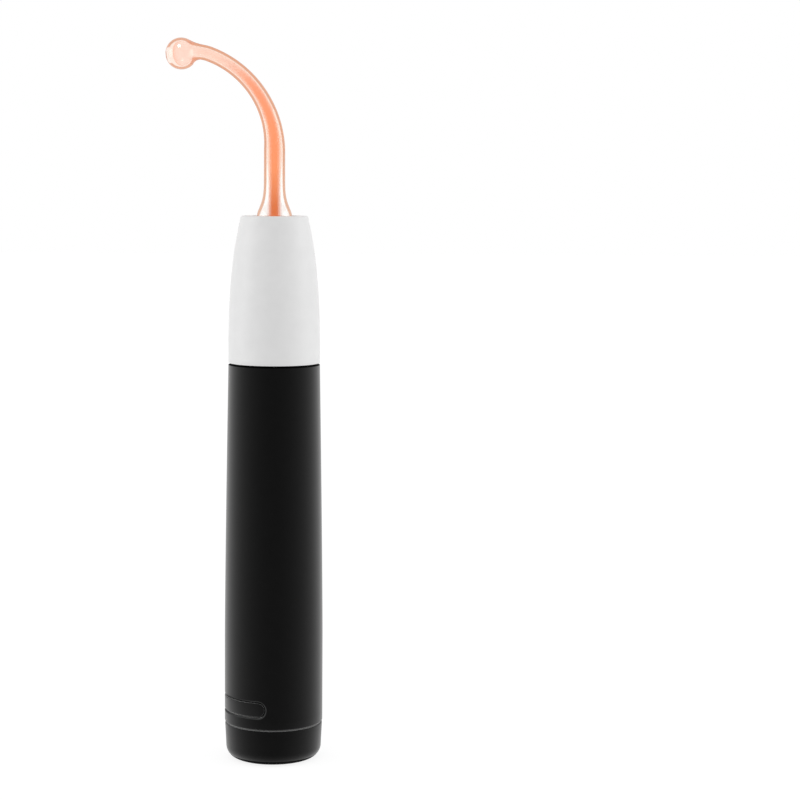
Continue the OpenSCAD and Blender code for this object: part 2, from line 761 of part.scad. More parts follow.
// Ring of winding in a chamber of the former
module winding(z0, z1, depth) {
    translate([0, 0, z0 + seat]) difference() {
        cylinder(r = former_tube_r + seat + depth, h = z1 - z0 - 2 * seat);
        translate([0, 0, -cut]) cylinder(r = former_tube_r + seat, h = z1 - z0 + 2 * cut);
    }
}

// Primary winding: a few turns of thick wire
module primary_winding() {
    color("#b0683a") winding(primary_z0, primary_z1 - former_wall, primary_depth);
}

// Secondary winding: many turns of fine wire, chamber by chamber
module secondary_winding() {
    color("#8f4a26") for (i = [0:secondary_chambers - 1])
        winding(primary_z1 + i * chamber_pitch, primary_z1 + (i + 1) * chamber_pitch - former_wall,
            secondary_depth);
}

// Primary leads: two wires from the main board up into the cup
module primary_leads() {
    board_end = main_board_z1 - 4;
    ring_r = former_tube_r + 2 * seat + primary_depth;
    color("#a03028") for (x = [-lead_x, lead_x]) {
        wire([x, lead_y, board_end], [x, lead_y, lead_z], wire_r);
        translate([x, lead_y, lead_z]) sphere(r = wire_r, $fn = 24);
        wire([x, lead_y, lead_z], [x, ring_r, lead_z], wire_r);
    }
}

// Output lead: from the top of the secondary to the contact guide
module output_lead() {
    lead_r = 0.5;
    out_y = -(former_tube_r + 2.2);
    low = former_z1 - former_wall - seat;
    top = former_z1 + lead_r + seat;
    color("#e8e4da") {
        wire([0, out_y, low], [0, out_y, top], lead_r);
        translate([0, out_y, top]) sphere(r = lead_r, $fn = 24);
        wire([0, out_y, top], [0, 0, top], lead_r);
        translate([0, 0, top]) sphere(r = lead_r, $fn = 24);
        wire([0, 0, top], [0, 0, guide_z0 - seat], lead_r);
    }
}

// Outline of the chassis between its bulkheads: shell, saddle and board rails
module chassis_outline() {
    saddle_y = cell_y - cell_r / 2;
    difference() {
        intersection() {
            circle(r = chassis_r);
            union() {
                difference() {
                    circle(r = chassis_r);
                    circle(r = chassis_r - chassis_wall);
                }
                translate([-chassis_r, -chassis_r]) square([2 * chassis_r, chassis_r + saddle_y]);
                for (x = [-1, 1]) translate([x * (rail_in + chassis_r) / 2, board_y0 + board_t / 2])
                    square([chassis_r - rail_in, board_t + 2 * rail_t], center = true);
            }
        }
        translate([0, cell_y]) circle(r = cell_r + 0.15);
        translate([-board_w / 2 - 0.1, board_y0 - seat]) square([board_w + 0.2, board_t + 2 * seat]);
        translate([-rail_in, board_y0 - rail_t]) square([2 * rail_in, chassis_r]);
    }
}

// Chassis: the moulded frame that carries cell, board and coil
module chassis() {
    bay = bay_z1 - bay_z0;
    pitch = bay / window_count;
    window_w = 7;
    color("#3a3a3d") {
        difference() {
            translate([0, 0, bay_z0 - seat]) linear_extrude(bay + 2 * seat) chassis_outline();
            for (i = [0:window_count - 1]) translate([0, -2, bay_z0 + pitch * (i + 0.5)])
                rotate([90, 0, 90]) rotate([0, 0, 90]) translate([0, 0, -chassis_r - cut])
                    linear_extrude(2 * chassis_r + 2 * cut) stadium(pitch - 4, window_w);
        }
        difference() {
            union() {
                for (z = [chassis_z0, bay_z1]) translate([0, 0, z]) cylinder(r = chassis_r, h = bulkhead_t);
                translate([0, 0, chassis_z1 - seat]) difference() {
                    cylinder(r = cup_r + loose + collar_t, h = collar_h);
                    translate([0, 0, -cut]) cylinder(r = cup_r + loose, h = collar_h + 2 * cut);
                }
            }
            translate([-lead_slot_w / 2, board_y1 - loose, chassis_z0 - cut])
                cube([lead_slot_w, chassis_r, chassis_z1 - chassis_z0 + collar_h + 2 * cut]);
        }
        for (turn = leg_turns) toward(turn) translate([leg_ring, 0, board_z1 + seat])
            cylinder(r = leg_r, h = chassis_z0 - board_z1);
    }
}

// Battery cell: lithium cell with its crimp and its button
module battery_cell() {
    edge = 0.6;
    nub_h = 1;
    nub_r = 3.1;
    crimp_z = cell_z1 - 4;
    crimp = 0.5;
    color("#2f6fa8") translate([0, cell_y, 0]) rotate_extrude() polygon([
        [0, cell_z0], [cell_r - edge, cell_z0], [cell_r, cell_z0 + edge],
        [cell_r, crimp_z - crimp], [cell_r - crimp, crimp_z], [cell_r, crimp_z + crimp],
        [cell_r, cell_z1 - nub_h - edge], [cell_r - edge, cell_z1 - nub_h],
        [nub_r + 0.3, cell_z1 - nub_h], [nub_r, cell_z1], [0, cell_z1]
    ]);
}

// Cell tabs: nickel strips from each end of the cell to the main board
module cell_tabs() {
    reach = board_y0 - seat - tab_t - cell_y;
    up = 4.5;
    color("#c8c8c4") for (end = [0, 1]) {
        z = end == 0 ? cell_z0 - seat - tab_t : cell_z1 + seat;
        translate([-tab_w / 2, cell_y - 2, z]) cube([tab_w, reach + 2 + tab_t, tab_t]);
        translate([-tab_w / 2, cell_y + reach, end == 0 ? z : z + tab_t - up]) cube([tab_w, tab_t, up]);
    }
}

// Cell pad: foam disc that keeps the cell from rattling
module cell_pad() {
    color("#55555a") translate([0, cell_y, bay_z0 + seat]) cylinder(r = cell_r - 0.8, h = pad_t);
}

// Main board: drives the coil and charges the cell
module main_board() {
    hole_r = 0.5;
    color("#1f5a3c") difference() {
        translate([-board_w / 2, board_y0, main_board_z0]) cube([board_w, board_t, main_board_z1 - main_board_z0]);
        for (x = [-1, 1], z = [main_board_z0 + 2, main_board_z1 - 2]) translate([x * (board_w / 2 - 2), 0, z])
            rotate([-90, 0, 0]) cylinder(r = hole_r, h = board_y1 + cut);
    }
}

// Puts a part on the front of the main board, at a share of its length, its height along +Y
module on_board(x, share) {
    z = main_board_z0 + share * (main_board_z1 - main_board_z0);
    translate([x, board_y1 + seat, z]) rotate([-90, 0, 0]) children();
}

// Flat package with a row of legs along two sides
module chip(w, l, h, legs) {
    leg_w = 0.4;
    leg_out = 0.7;
    pitch = l / legs;
    translate([-w / 2, -l / 2, 0.1]) cube([w, l, h - 0.1]);
    for (i = [0:legs - 1]) translate([-w / 2 - leg_out, -l / 2 + pitch * (i + 0.5) - leg_w / 2, 0])
        cube([w + 2 * leg_out, leg_w, 0.25]);
}

// Drive transistor: flat power package with a metal tab
module drive_transistor() {
    color("#232326") on_board(0, 0.75) {
        translate([-3.2, -3, 0.15]) cube([6.4, 6, 2]);
        translate([-2.6, -4.6, 0]) cube([5.2, 5, 0.5]);
        for (x = [-2.3, 2.3]) translate([x - 0.4, 2.5, 0]) cube([0.8, 2.6, 0.4]);
    }
}

// Board chips: timer and charge controller
module board_chips() {
    color("#28282b") {
        on_board(0, 0.5) chip(3.9, 4.9, 1.5, 4);
        on_board(0, 0.18) chip(3, 3, 1, 3);
    }
}

// Boost inductor: shielded square coil
module boost_inductor() {
    color("#4a4a4e") on_board(0, 0.34) {
        difference() {
            translate([-3, -3, 0]) cube([6, 6, 2]);
            translate([0, 0, 1.6]) cylinder(r = 2.4, h = cut);
        }
        translate([0, 0, 1.5]) cylinder(r = 1.9, h = 0.4);
    }
}

// Board capacitors: small blocks along both edges
module board_capacitors() {
    edge = 1.3;
    w = 1.6;
    l = 3.2;
    color("#b08a4c") for (side = [-1, 1], share = [0.25, 0.42, 0.58, 0.64])
        on_board(side * (board_w / 2 - edge - w / 2), share)
            translate([-w / 2, -l / 2, 0]) cube([w, l, 1.2]);
}

// Board link: four wires from the tail board to the main board
module board_link() {
    count = 4;
    pitch = 1;
    color("#c7b04a") for (i = [0:count - 1]) {
        x = (i - (count - 1) / 2) * pitch;
        wire([x, link_y, board_z1 + seat], [x, link_y, main_board_z0 + 4], wire_r);
    }
}

// Tail board: round board under the charging socket
module tail_board() {
    color("#1f5a3c") difference() {
        translate([0, 0, board_z0]) cylinder(r = tail_board_r, h = board_t);
        for (turn = screw_turns) toward(turn) translate([screw_ring, 0, board_z0 - cut]) {
            cylinder(r = boss_r + 0.3, h = board_t + 2 * cut);
            translate([0, -boss_r - 0.3, 0]) cube([2 * boss_r, 2 * boss_r + 0.6, board_t + 2 * cut]);
        }
        terminals(board_z0 - cut, board_t + 2 * cut, terminal_r + 0.15);
    }
}

// The control's three pins, or the holes for them
module terminals(z, h, r) {
    for (turn = [200, 225, 250]) toward(turn) translate([terminal_ring, 0, z]) cylinder(r = r, h = h, $fn = 24);
}

// Charge chip: controller beside the charging socket
module charge_chip() {
    color("#28282b") toward(port_turn + 120) translate([6.5, 0, board_z1 + seat]) chip(3, 3, 1, 3);
}

// Charging socket: steel shell with a stadium mouth
module charging_socket() {
    ear = 1.4;
    color("#b9bbbe") toward(port_turn) {
        translate([shell_front - shell_len, 0, port_z]) rotate([90, 0, 90]) difference() {
            linear_extrude(shell_len) stadium(shell_w, shell_h);
            translate([0, 0, shell_wall])
                linear_extrude(shell_len) stadium(shell_w - 2 * shell_wall, shell_h - 2 * shell_wall);
        }
        for (y = [-1, 1]) translate([shell_front - 4.5 - ear, y * shell_w / 2 - 0.8 * (y + 1), board_z1 + seat])
            cube([ear, 1.6, shell_wall]);
    }
}

// Socket tongue: plastic tongue and base inside the shell
module socket_tongue() {
    tongue_t = 0.7;
    tongue_w = 6.7;
    base_len = 1.8;
    back = shell_front - shell_len + shell_wall + seat;
    color("#2a2a2c") toward(port_turn) translate([back, 0, port_z]) rotate([90, 0, 90]) {
        linear_extrude(base_len) stadium(shell_w - 2 * shell_wall - 2 * seat, shell_h - 2 * shell_wall - 2 * seat);
        linear_extrude(shell_len - 1.5 - shell_wall) square([tongue_w, tongue_t], center = true);
    }
}

// Control case: cup that holds the turning contact
module control_case() {
    ledge = 0.5;
    color("#5a5c60") rotate_extrude() polygon([
        [shaft_r + running_fit, case_z0], [case_r, case_z0], [case_r, case_z1],
        [case_r - 0.5, case_z1], [case_r - 0.5, track_z0], [case_r - 0.5 - ledge, track_z0],
        [case_r - 0.5 - ledge, case_z0 + bushing_t], [shaft_r + running_fit, case_z0 + bushing_t]
    ]);
}

// Control track: disc that carries the resistive ring, with its three pins
module control_track() {
    color("#6b3f24") {
        translate([0, 0, track_z0 + 0.02]) difference() {
            cylinder(r = case_r - 0.5 - seat, h = track_t);
            translate([0, 0, -cut]) cylinder(r = pilot_r + 0.1, h = track_t + 2 * cut);
        }
        terminals(track_z0 + track_t - 0.1, board_z1 + 0.5 - track_z0 - track_t, terminal_r);
    }
}

// Control shaft: rotor with the flat that the dial's hub grips
module control_shaft() {
    color("#d2d2d0") {
        translate([0, 0, shaft_z0]) d_shaft(shaft_r, hub_z1 - shaft_z0);
        translate([0, 0, hub_z1]) cylinder(r = shaft_r, h = flange_z0 - hub_z1);
        translate([0, 0, flange_z0]) cylinder(r = flange_r, h = flange_t);
        translate([0, 0, flange_z0 + flange_t]) cylinder(r = pilot_r, h = track_z0 + track_t - flange_z0 - flange_t);
    }
}

// Control wiper: spring leaf with two fingers on the track
module control_wiper() {
    leaf_t = 0.25;
    leaf_z = flange_z0 + flange_t + 0.02;
    tip_r = 0.4;
    tip_z = track_z0 - running_fit - tip_r;
    reach = flange_r - 0.9;
    color("#c9a659") {
        difference() {
            translate([0, 0, leaf_z]) cylinder(r = reach - 0.2, h = leaf_t);
            translate([0, 0, leaf_z - cut]) cylinder(r = pilot_r + 0.1, h = leaf_t + 2 * cut);
        }
        for (a = [0, 180]) rotate([0, 0, a]) {
            wire([reach - 0.6, 0, leaf_z + leaf_t / 2], [reach, 0, tip_z], tip_r * 0.8);
            translate([reach, 0, tip_z]) sphere(r = tip_r, $fn = 24);
        }
    }
}

// Tail plate: closes the barrel, and dishes down to hold the control
module tail_plate() {
    post_r = 1.2;
    dish_r = dish_in + dish_wall;
    color("#2c2c2e") difference() {
        union() {
            rotate_extrude() polygon([
                [shaft_r + 0.3, dish_z0], [dish_r, dish_z0], [dish_r, plate_z0], [plate_r, plate_z0],
                [plate_r, plate_z1], [dish_in, plate_z1], [dish_in, dish_z0 + dish_floor],
                [shaft_r + 0.3, dish_z0 + dish_floor]
            ]);
            for (turn = leg_turns) toward(turn) translate([leg_ring, 0, plate_z1 - 0.2])
                cylinder(r = post_r, h = board_z0 - seat - plate_z1 + 0.2);
        }
        for (turn = screw_turns) toward(turn) translate([screw_ring, 0, plate_z0]) {
            translate([0, 0, -cut]) cylinder(r = screw_r + 0.15, h = plate_t + 2 * cut);
            translate([0, 0, -seat]) cylinder(r1 = screw_head_r + 0.1, r2 = screw_r + 0.15, h = screw_head_h + 0.1);
        }
    }
}

// Tail screws: countersunk, through the plate into the barrel's bosses
module tail_screws() {
    slot = 0.35;
    color("#c4c6c8") for (turn = screw_turns) toward(turn) translate([screw_ring, 0, screw_z0]) difference() {
        union() {
            cylinder(r1 = screw_head_r - 0.1, r2 = screw_r, h = screw_head_h - 0.1);
            cylinder(r = screw_r, h = screw_len);
        }
        for (a = [0, 90]) rotate([0, 0, a])
            translate([-1, -slot / 2, -cut]) cube([2, slot, cut + 0.5]);
    }
}

barrel();
nose_cone();
dial();
port_cover();
cover_anchor();
electrode_glass();
electrode_cap();
electrode_lead();
grip_bush();
electrode_socket();
contact_guide();
contact_plunger();
contact_spring();
coil_cup();
coil_former();
ferrite_core();
primary_winding();
secondary_winding();
primary_leads();
output_lead();
chassis();
battery_cell();
cell_tabs();
cell_pad();
main_board();
drive_transistor();
board_chips();
boost_inductor();
board_capacitors();
board_link();
tail_board();
charge_chip();
charging_socket();
socket_tongue();
control_case();
control_track();
control_shaft();
control_wiper();
tail_plate();
tail_screws();
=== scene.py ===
from math import atan2, cos, exp, pi, radians, sin, sqrt

import bpy
from mathutils import Matrix, Vector


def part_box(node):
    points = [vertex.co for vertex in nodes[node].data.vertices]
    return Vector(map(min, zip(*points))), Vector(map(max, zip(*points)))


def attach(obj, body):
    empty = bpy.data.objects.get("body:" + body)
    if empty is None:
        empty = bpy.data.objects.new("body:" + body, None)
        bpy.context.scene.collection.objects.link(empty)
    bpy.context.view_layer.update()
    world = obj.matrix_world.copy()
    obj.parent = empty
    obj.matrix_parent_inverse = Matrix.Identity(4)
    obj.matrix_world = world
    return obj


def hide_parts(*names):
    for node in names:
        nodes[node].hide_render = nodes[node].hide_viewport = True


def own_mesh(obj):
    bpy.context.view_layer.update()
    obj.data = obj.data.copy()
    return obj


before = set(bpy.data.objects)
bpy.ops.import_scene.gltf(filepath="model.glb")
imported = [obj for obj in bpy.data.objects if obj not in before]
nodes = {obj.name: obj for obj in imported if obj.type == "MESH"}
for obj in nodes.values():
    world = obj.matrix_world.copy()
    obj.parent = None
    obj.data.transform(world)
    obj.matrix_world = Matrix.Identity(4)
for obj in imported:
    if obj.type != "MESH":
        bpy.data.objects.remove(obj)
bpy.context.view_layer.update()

# The wand stands on its dial, its axis is Z, and the glass leans towards -X. Sizes here are in millimetres.
mm = 0.001
bpy.ops.object.select_all(action="DESELECT")
print("frame loaded:", len(nodes), "nodes")


# Camera, light and floor

camera = {"place": (0, -707.2, 184.3), "down": 5.84, "right": 3.142, "roll": 0.4142, "lens": 103.7}
studio = {
    "ambient": 0.74, "floorSize": 8000, "floorColour": 0.25, "floorGlow": 0.84, "floorBounce": 0.8,
    "sideLamps": 1.6, "sideSize": (420, 700), "sidePlace": (750, -60, 200), "sideAim": (0, 0, 110),
    "ballLamp": 2.6, "ballLampSize": (300, 300),
    "ballLampPlace": (-204, -384, 889), "ballLampAim": (-30, 0, 219),
}


def linear(hexText, alpha=1.0):
    parts = [int(hexText[i:i + 2], 16) / 255 for i in (1, 3, 5)]
    return (*[c / 12.92 if c <= 0.04045 else ((c + 0.055) / 1.055) ** 2.4 for c in parts], alpha)


def addNode(tree, kind, settings=None, values=None, links=None):
    node = tree.nodes.new(kind)
    for key, value in (settings or {}).items():
        setattr(node, key, value)
    for key, value in (values or {}).items():
        node.inputs[key].default_value = value
    for key, source in (links or {}).items():
        tree.links.new(source, node.inputs[key])
    return node


def calc(tree, operation, *terms):
    # each term is a number or the output of another node
    node = addNode(tree, "ShaderNodeMath", {"operation": operation})
    for place, term in zip(node.inputs, terms):
        if isinstance(term, (int, float)):
            place.default_value = term
        else:
            tree.links.new(term, place)
    return node.outputs[0]


def mixed(tree, share, first, second):
    return addNode(tree, "ShaderNodeMixShader", links={0: share, 1: first.outputs[0], 2: second.outputs[0]})


def meshValue(tree, name):
    return addNode(tree, "ShaderNodeAttribute", {"attribute_name": name}).outputs["Fac"]


def setUpCamera():
    data = bpy.data.cameras.new("studioCamera")
    data.sensor_width, data.lens = 36, camera["lens"]
    data.clip_start, data.clip_end = 0.01, 50
    eye = bpy.data.objects.new("studioCamera", data)
    bpy.context.scene.collection.objects.link(eye)
    turn = Matrix.Rotation(-radians(camera["right"]), 3, "Z")
    tilt = Matrix.Rotation(pi / 2 - radians(camera["down"]), 3, "X")
    roll = Matrix.Rotation(radians(camera["roll"]), 3, "Z")
    eye.matrix_world = Matrix.Translation(Vector(camera["place"]) * mm) @ (turn @ tilt @ roll).to_4x4()
    bpy.context.scene.camera = eye


def seenDirectly(tree):
    # 1 for what the camera, a shine or clear glass looks at, 0 for what only lights the wand
    path = addNode(tree, "ShaderNodeLightPath").outputs
    shine = calc(tree, "MAXIMUM", path["Is Camera Ray"], path["Is Glossy Ray"])
    return calc(tree, "MAXIMUM", shine, path["Is Transmission Ray"])


def setUpWorld():
    world = bpy.data.worlds.new("whiteStudio")
    bpy.context.scene.world = world
    world.use_nodes = True
    tree = world.node_tree
    tree.nodes.clear()
    white = (1, 1, 1, 1)
    soft = addNode(tree, "ShaderNodeBackground", values={"Color": white, "Strength": studio["ambient"]})
    plain = addNode(tree, "ShaderNodeBackground", values={"Color": white, "Strength": 1})
    mix = mixed(tree, seenDirectly(tree), soft, plain)
    addNode(tree, "ShaderNodeOutputWorld", links={0: mix.outputs[0]})


def hangLamp(name, shape, size, energy, place, aim):
    data = bpy.data.lights.new(name, "AREA")
    data.shape, data.size, data.size_y, data.energy = shape, size[0] * mm, size[1] * mm, energy
    lamp = bpy.data.objects.new(name, data)
    bpy.context.scene.collection.objects.link(lamp)
    lamp.location = Vector(place) * mm
    lamp.rotation_euler = (Vector(aim) * mm - lamp.location).to_track_quat("-Z", "Y").to_euler()
    return lamp


def setUpLamps():
    x, y, z = studio["sidePlace"]
    for side in (-1, 1):
        hangLamp(f"sideLamp{side}", "RECTANGLE", studio["sideSize"], studio["sideLamps"], (side * x, y, z),
                 studio["sideAim"])
    # round lamp over the front that lights the glass alone: it puts the white spot on the ball
    lamp = hangLamp("ballLamp", "DISK", studio["ballLampSize"], studio["ballLamp"], studio["ballLampPlace"],
                    studio["ballLampAim"])
    lamp.light_linking.receiver_collection = bpy.data.collections.new("litByBallLamp")


def setUpFloor():
    bpy.ops.mesh.primitive_plane_add(size=studio["floorSize"] * mm, location=(0, 0, 0))
    floor = bpy.context.object
    floor.name = "paperFloor"
    paper = bpy.data.materials.new("matt white backdrop paper")
    paper.use_nodes = True
    tree = paper.node_tree
    tree.nodes.clear()
    grey, bounce = studio["floorColour"], studio["floorBounce"]
    shade = addNode(tree, "ShaderNodeBsdfDiffuse", values={"Color": (grey, grey, grey, 1)})
    glow = addNode(tree, "ShaderNodeEmission", values={"Strength": studio["floorGlow"]})
    seen = addNode(tree, "ShaderNodeAddShader", links={0: shade.outputs[0], 1: glow.outputs[0]})
    light = addNode(tree, "ShaderNodeBsdfDiffuse", values={"Color": (bounce, bounce, bounce, 1)})
    mix = mixed(tree, seenDirectly(tree), light, seen)
    addNode(tree, "ShaderNodeOutputMaterial", links={0: mix.outputs[0]})
    floor.data.materials.append(paper)


setUpCamera()
setUpWorld()
setUpLamps()
setUpFloor()
bpy.context.scene.view_settings.view_transform = "Standard"
print("studio ready")


# Finishes

def newFinish(name):
    material = bpy.data.materials.new(name)
    material.use_nodes = True
    tree = material.node_tree
    tree.nodes.clear()
    shader = addNode(tree, "ShaderNodeBsdfPrincipled")
    addNode(tree, "ShaderNodeOutputMaterial", links={"Surface": shader.outputs[0]})
    return material, tree, shader


def drift(tree, size, detail=3, stretch=(1, 1, 1)):
    # noise whose lumps are about that many millimetres wide
    place = addNode(tree, "ShaderNodeTexCoord")
    scaled = addNode(tree, "ShaderNodeMapping", values={"Scale": stretch},
                     links={"Vector": place.outputs["Object"]})
    return addNode(tree, "ShaderNodeTexNoise", values={"Scale": 1 / (size * mm), "Detail": detail},
                   links={"Vector": scaled.outputs[0]}).outputs["Fac"]


def spread(tree, source, low, high):
    # noise gathers round its middle, so 0.3 to 0.7 of it becomes the whole range
    return addNode(tree, "ShaderNodeMapRange",
                   values={"From Min": 0.3, "From Max": 0.7, "To Min": low, "To Max": high},
                   links={"Value": source}).outputs[0]


def tones(tree, source, dark, light):
    ramp = addNode(tree, "ShaderNodeValToRGB", links={"Fac": source})
    ramp.color_ramp.elements[0].position, ramp.color_ramp.elements[1].position = 0.3, 0.7
    ramp.color_ramp.elements[0].color, ramp.color_ramp.elements[1].color = linear(dark), linear(light)
    return ramp.outputs[0]


def relief(tree, shader, source, depth):
    bump = addNode(tree, "ShaderNodeBump", values={"Strength": 1, "Distance": depth * mm},
                   links={"Height": source})
    tree.links.new(bump.outputs[0], shader.inputs["Normal"])


def moulded(name, dark, light, rough=0.5, grain=0.4, depth=0.004, metal=0.0, stretch=(1, 1, 1), **values):
    # plain moulded, stamped or turned surface: two close tones, uneven polish and a fine relief
    material, tree, shader = newFinish(name)
    fine = drift(tree, grain, stretch=stretch)
    wide = drift(tree, grain * 14, 2)
    tree.links.new(tones(tree, wide, dark, light), shader.inputs["Base Color"])
    tree.links.new(spread(tree, fine, rough - 0.06, rough + 0.06), shader.inputs["Roughness"])
    shader.inputs["Metallic"].default_value = metal
    for key, value in values.items():
        shader.inputs[key.replace("_", " ")].default_value = value
    relief(tree, shader, fine, depth)
    return material


# Soft-touch paint on ABS, sprayed: near black, a rubbery haze that lightens towards the edge of every round
softTouch = moulded("soft-touch painted ABS", "#000000", "#020202", 0.46, 0.25, 0.0015,
                    Specular_IOR_Level=0.0, Sheen_Weight=1.0, Sheen_Roughness=0.43)

# Satin ABS, injection moulded: even pale grey-white with a silky shine
satinNose = moulded("satin white ABS", "#eeeeee", "#f1f1f1", 0.42, 0.3, 0.001, Specular_IOR_Level=0.35)

# Silicone, compression moulded: black, matt, a little lighter than the paint round it
silicone = moulded("moulded black silicone", "#050505", "#070707", 0.6, 0.2, 0.002,
                   Specular_IOR_Level=0.02, Sheen_Weight=0.95, Sheen_Roughness=0.44)

# The same paint made greyer on the pocket's chamfered rim: a painted highlight, so the outline shows
rimPaintedHighlight = moulded("soft-touch paint with painted rim highlight", "#3c3c3c", "#474747", 0.5, 0.2, 0.001,
                     Specular_IOR_Level=0.05)

# Black ABS without haze: unpainted inside the shells, and painted shade in the gap under the nose and on the
# dial's foot, so these look dead black
bareAbsAndPaintedShade = moulded("unpainted black ABS, also painted shade", "#020202", "#040404", 0.6, 0.4, 0.002, Specular_IOR_Level=0.02)


glassLook = {
    "ior": 1.47, "outsideShine": 0.22, "boreShine": 0.4, "clear": "#fffdfb", "shadow": "#fdf3ec",
    "rim": "#bd6f47", "line": "#cf7b52", "lineWidth": 0.95, "warm": "#ffeee4",
    "caught": "#d99a78", "bounces": 5.5,
}


def edgeColour(tree):
    # how many millimetres in from its outline a point is seen sets its colour
    facing = addNode(tree, "ShaderNodeLayerWeight", values={"Blend": 0.5}).outputs["Facing"]
    side = calc(tree, "SUBTRACT", 1, facing)
    rest = calc(tree, "SUBTRACT", 1, calc(tree, "MULTIPLY", side, side))
    inward = calc(tree, "SUBTRACT", 1, calc(tree, "SQRT", rest))
    depth = calc(tree, "MULTIPLY", inward, meshValue(tree, "halfWidth"))
    ramp = addNode(tree, "ShaderNodeValToRGB", links={"Fac": depth})
    width = glassLook["lineWidth"]
    stops = [(0.0, glassLook["rim"]), (width * 0.75, glassLook["line"]), (width, glassLook["clear"])]
    ramp.color_ramp.elements.new(0.5)
    for element, (place, tone) in zip(ramp.color_ramp.elements, stops):
        element.position, element.color = place, linear(tone)
    # the wall takes on some of the glow once the gas fills the whole bore
    tint = addNode(tree, "ShaderNodeMix", {"data_type": "RGBA"},
                   {6: (1, 1, 1, 1), 7: linear(glassLook["warm"])}, {0: meshValue(tree, "warmth")})
    return addNode(tree, "ShaderNodeMix", {"data_type": "RGBA", "blend_type": "MULTIPLY"}, {0: 1},
                   {6: ramp.outputs[0], 7: tint.outputs[2]}).outputs[2]


def makeGlass(name, outside):
    # Borosilicate tube, blown and bent by hand: clear, with the glow caught in its edges as a thin line
    material, tree, shader = newFinish(name)
    shader.inputs["Transmission Weight"].default_value = 1
    shader.inputs["IOR"].default_value = glassLook["ior"]
    shader.inputs["Specular IOR Level"].default_value = glassLook["outsideShine" if outside else "boreShine"]
    shader.inputs["Base Color"].default_value = linear(glassLook["clear"])
    if outside:
        tree.links.new(edgeColour(tree), shader.inputs["Base Color"])
    ripple = drift(tree, 6, 1)
    tree.links.new(spread(tree, ripple, 0.0, 0.004), shader.inputs["Roughness"])
    # light from lamps passes the glass
    out = [n for n in tree.nodes if n.type == "OUTPUT_MATERIAL"][0]
    path = addNode(tree, "ShaderNodeLightPath").outputs
    clear = addNode(tree, "ShaderNodeBsdfTransparent", values={"Color": linear(glassLook["shadow"])})
    mix = mixed(tree, path["Is Shadow Ray"], shader, clear)
    # light that runs on inside the wall comes out warm instead of being lost
    caught = addNode(tree, "ShaderNodeEmission", values={"Color": linear(glassLook["caught"]), "Strength": 1})
    often = calc(tree, "GREATER_THAN", path["Ray Depth"], glassLook["bounces"])
    tree.links.new(mixed(tree, often, mix, caught).outputs[0], out.inputs["Surface"])
    return material


neonLook = {
    "strength": 1.04, "skinPower": 3, "skinGain": 2.4, "skinBase": 0.7, "wisps": (0.92, 1.08), "wispSize": 3,
    # colour from the metal up to the ball
    "colours": [(0.0, "#d86000"), (0.2, "#da6400"), (0.27, "#ec8040"), (0.34, "#fb9459"), (0.48, "#ff9a66"),
                (0.66, "#ffa076"), (0.8, "#ffb798"), (1.0, "#ffc4ae")],
}


def makeNeon():
    # Neon under low pressure, lit: deep orange by the metal, paler further from it, thin at its sides
    material, tree, shader = newFinish("glowing neon gas")
    shader.inputs["Base Color"].default_value = (0, 0, 0, 1)
    shader.inputs["Specular IOR Level"].default_value = 0
    shader.inputs["Roughness"].default_value = 1
    ramp = addNode(tree, "ShaderNodeValToRGB", links={"Fac": meshValue(tree, "along")})
    stops = neonLook["colours"]
    for place, tone in stops[1:-1]:
        ramp.color_ramp.elements.new(place)
    for element, (place, tone) in zip(ramp.color_ramp.elements, stops):
        element.position, element.color = place, linear(tone)
    tree.links.new(ramp.outputs[0], shader.inputs["Emission Color"])
    shader.inputs["Emission Strength"].default_value = neonLook["strength"]
    # gas is thick in its middle and thin at its sides; the glow's skin in the ball is the other way round
    facing = addNode(tree, "ShaderNodeLayerWeight", values={"Blend": 0.5}).outputs["Facing"]
    middle = calc(tree, "SUBTRACT", 1, facing)
    edge = calc(tree, "POWER", facing, neonLook["skinPower"])
    limb = calc(tree, "MULTIPLY_ADD", edge, neonLook["skinGain"], neonLook["skinBase"])
    shape = addNode(tree, "ShaderNodeMix", links={0: meshValue(tree, "skin"), 2: middle, 3: limb})
    thick = calc(tree, "MULTIPLY", meshValue(tree, "fullness"), shape.outputs[0])
    uneven = spread(tree, drift(tree, neonLook["wispSize"], 2), *neonLook["wisps"])
    wisps = addNode(tree, "ShaderNodeMath", {"operation": "MULTIPLY", "use_clamp": True},
                    links={0: thick, 1: uneven})
    tree.links.new(wisps.outputs[0], shader.inputs["Alpha"])
    return material


glassFinish = makeGlass("clear blown borosilicate glass", True)
boreFinish = makeGlass("bore of the blown glass", False)
neonFinish = makeNeon()

board = {"dark": "#1a5236", "light": "#2f7a50", "tile": 7, "track": 0.025, "relief": 0.03}


def printed(name, across):
    # Glass laminate under green lacquer, etched: copper tracks 0.35 mm wide show through it a little lighter
    material, tree, shader = newFinish(name)
    place = addNode(tree, "ShaderNodeTexCoord")
    laid = addNode(tree, "ShaderNodeMapping", values={"Rotation": across},
                   links={"Vector": place.outputs["Object"]})
    dark, light = linear(board["dark"]), linear(board["light"])
    tracks = addNode(tree, "ShaderNodeTexBrick", {"offset": 0.37, "squash": 0.7, "squash_frequency": 3},
                     {"Scale": 1 / (board["tile"] * mm), "Mortar Size": board["track"], "Mortar Smooth": 0.1,
                      "Brick Width": 0.9, "Row Height": 0.22, "Color1": dark, "Color2": dark,
                      "Mortar": light},
                     {"Vector": laid.outputs[0]})
    tree.links.new(tracks.outputs["Color"], shader.inputs["Base Color"])
    tree.links.new(spread(tree, drift(tree, 0.8), 0.26, 0.4), shader.inputs["Roughness"])
    relief(tree, shader, tracks.outputs["Fac"], board["relief"])
    return material


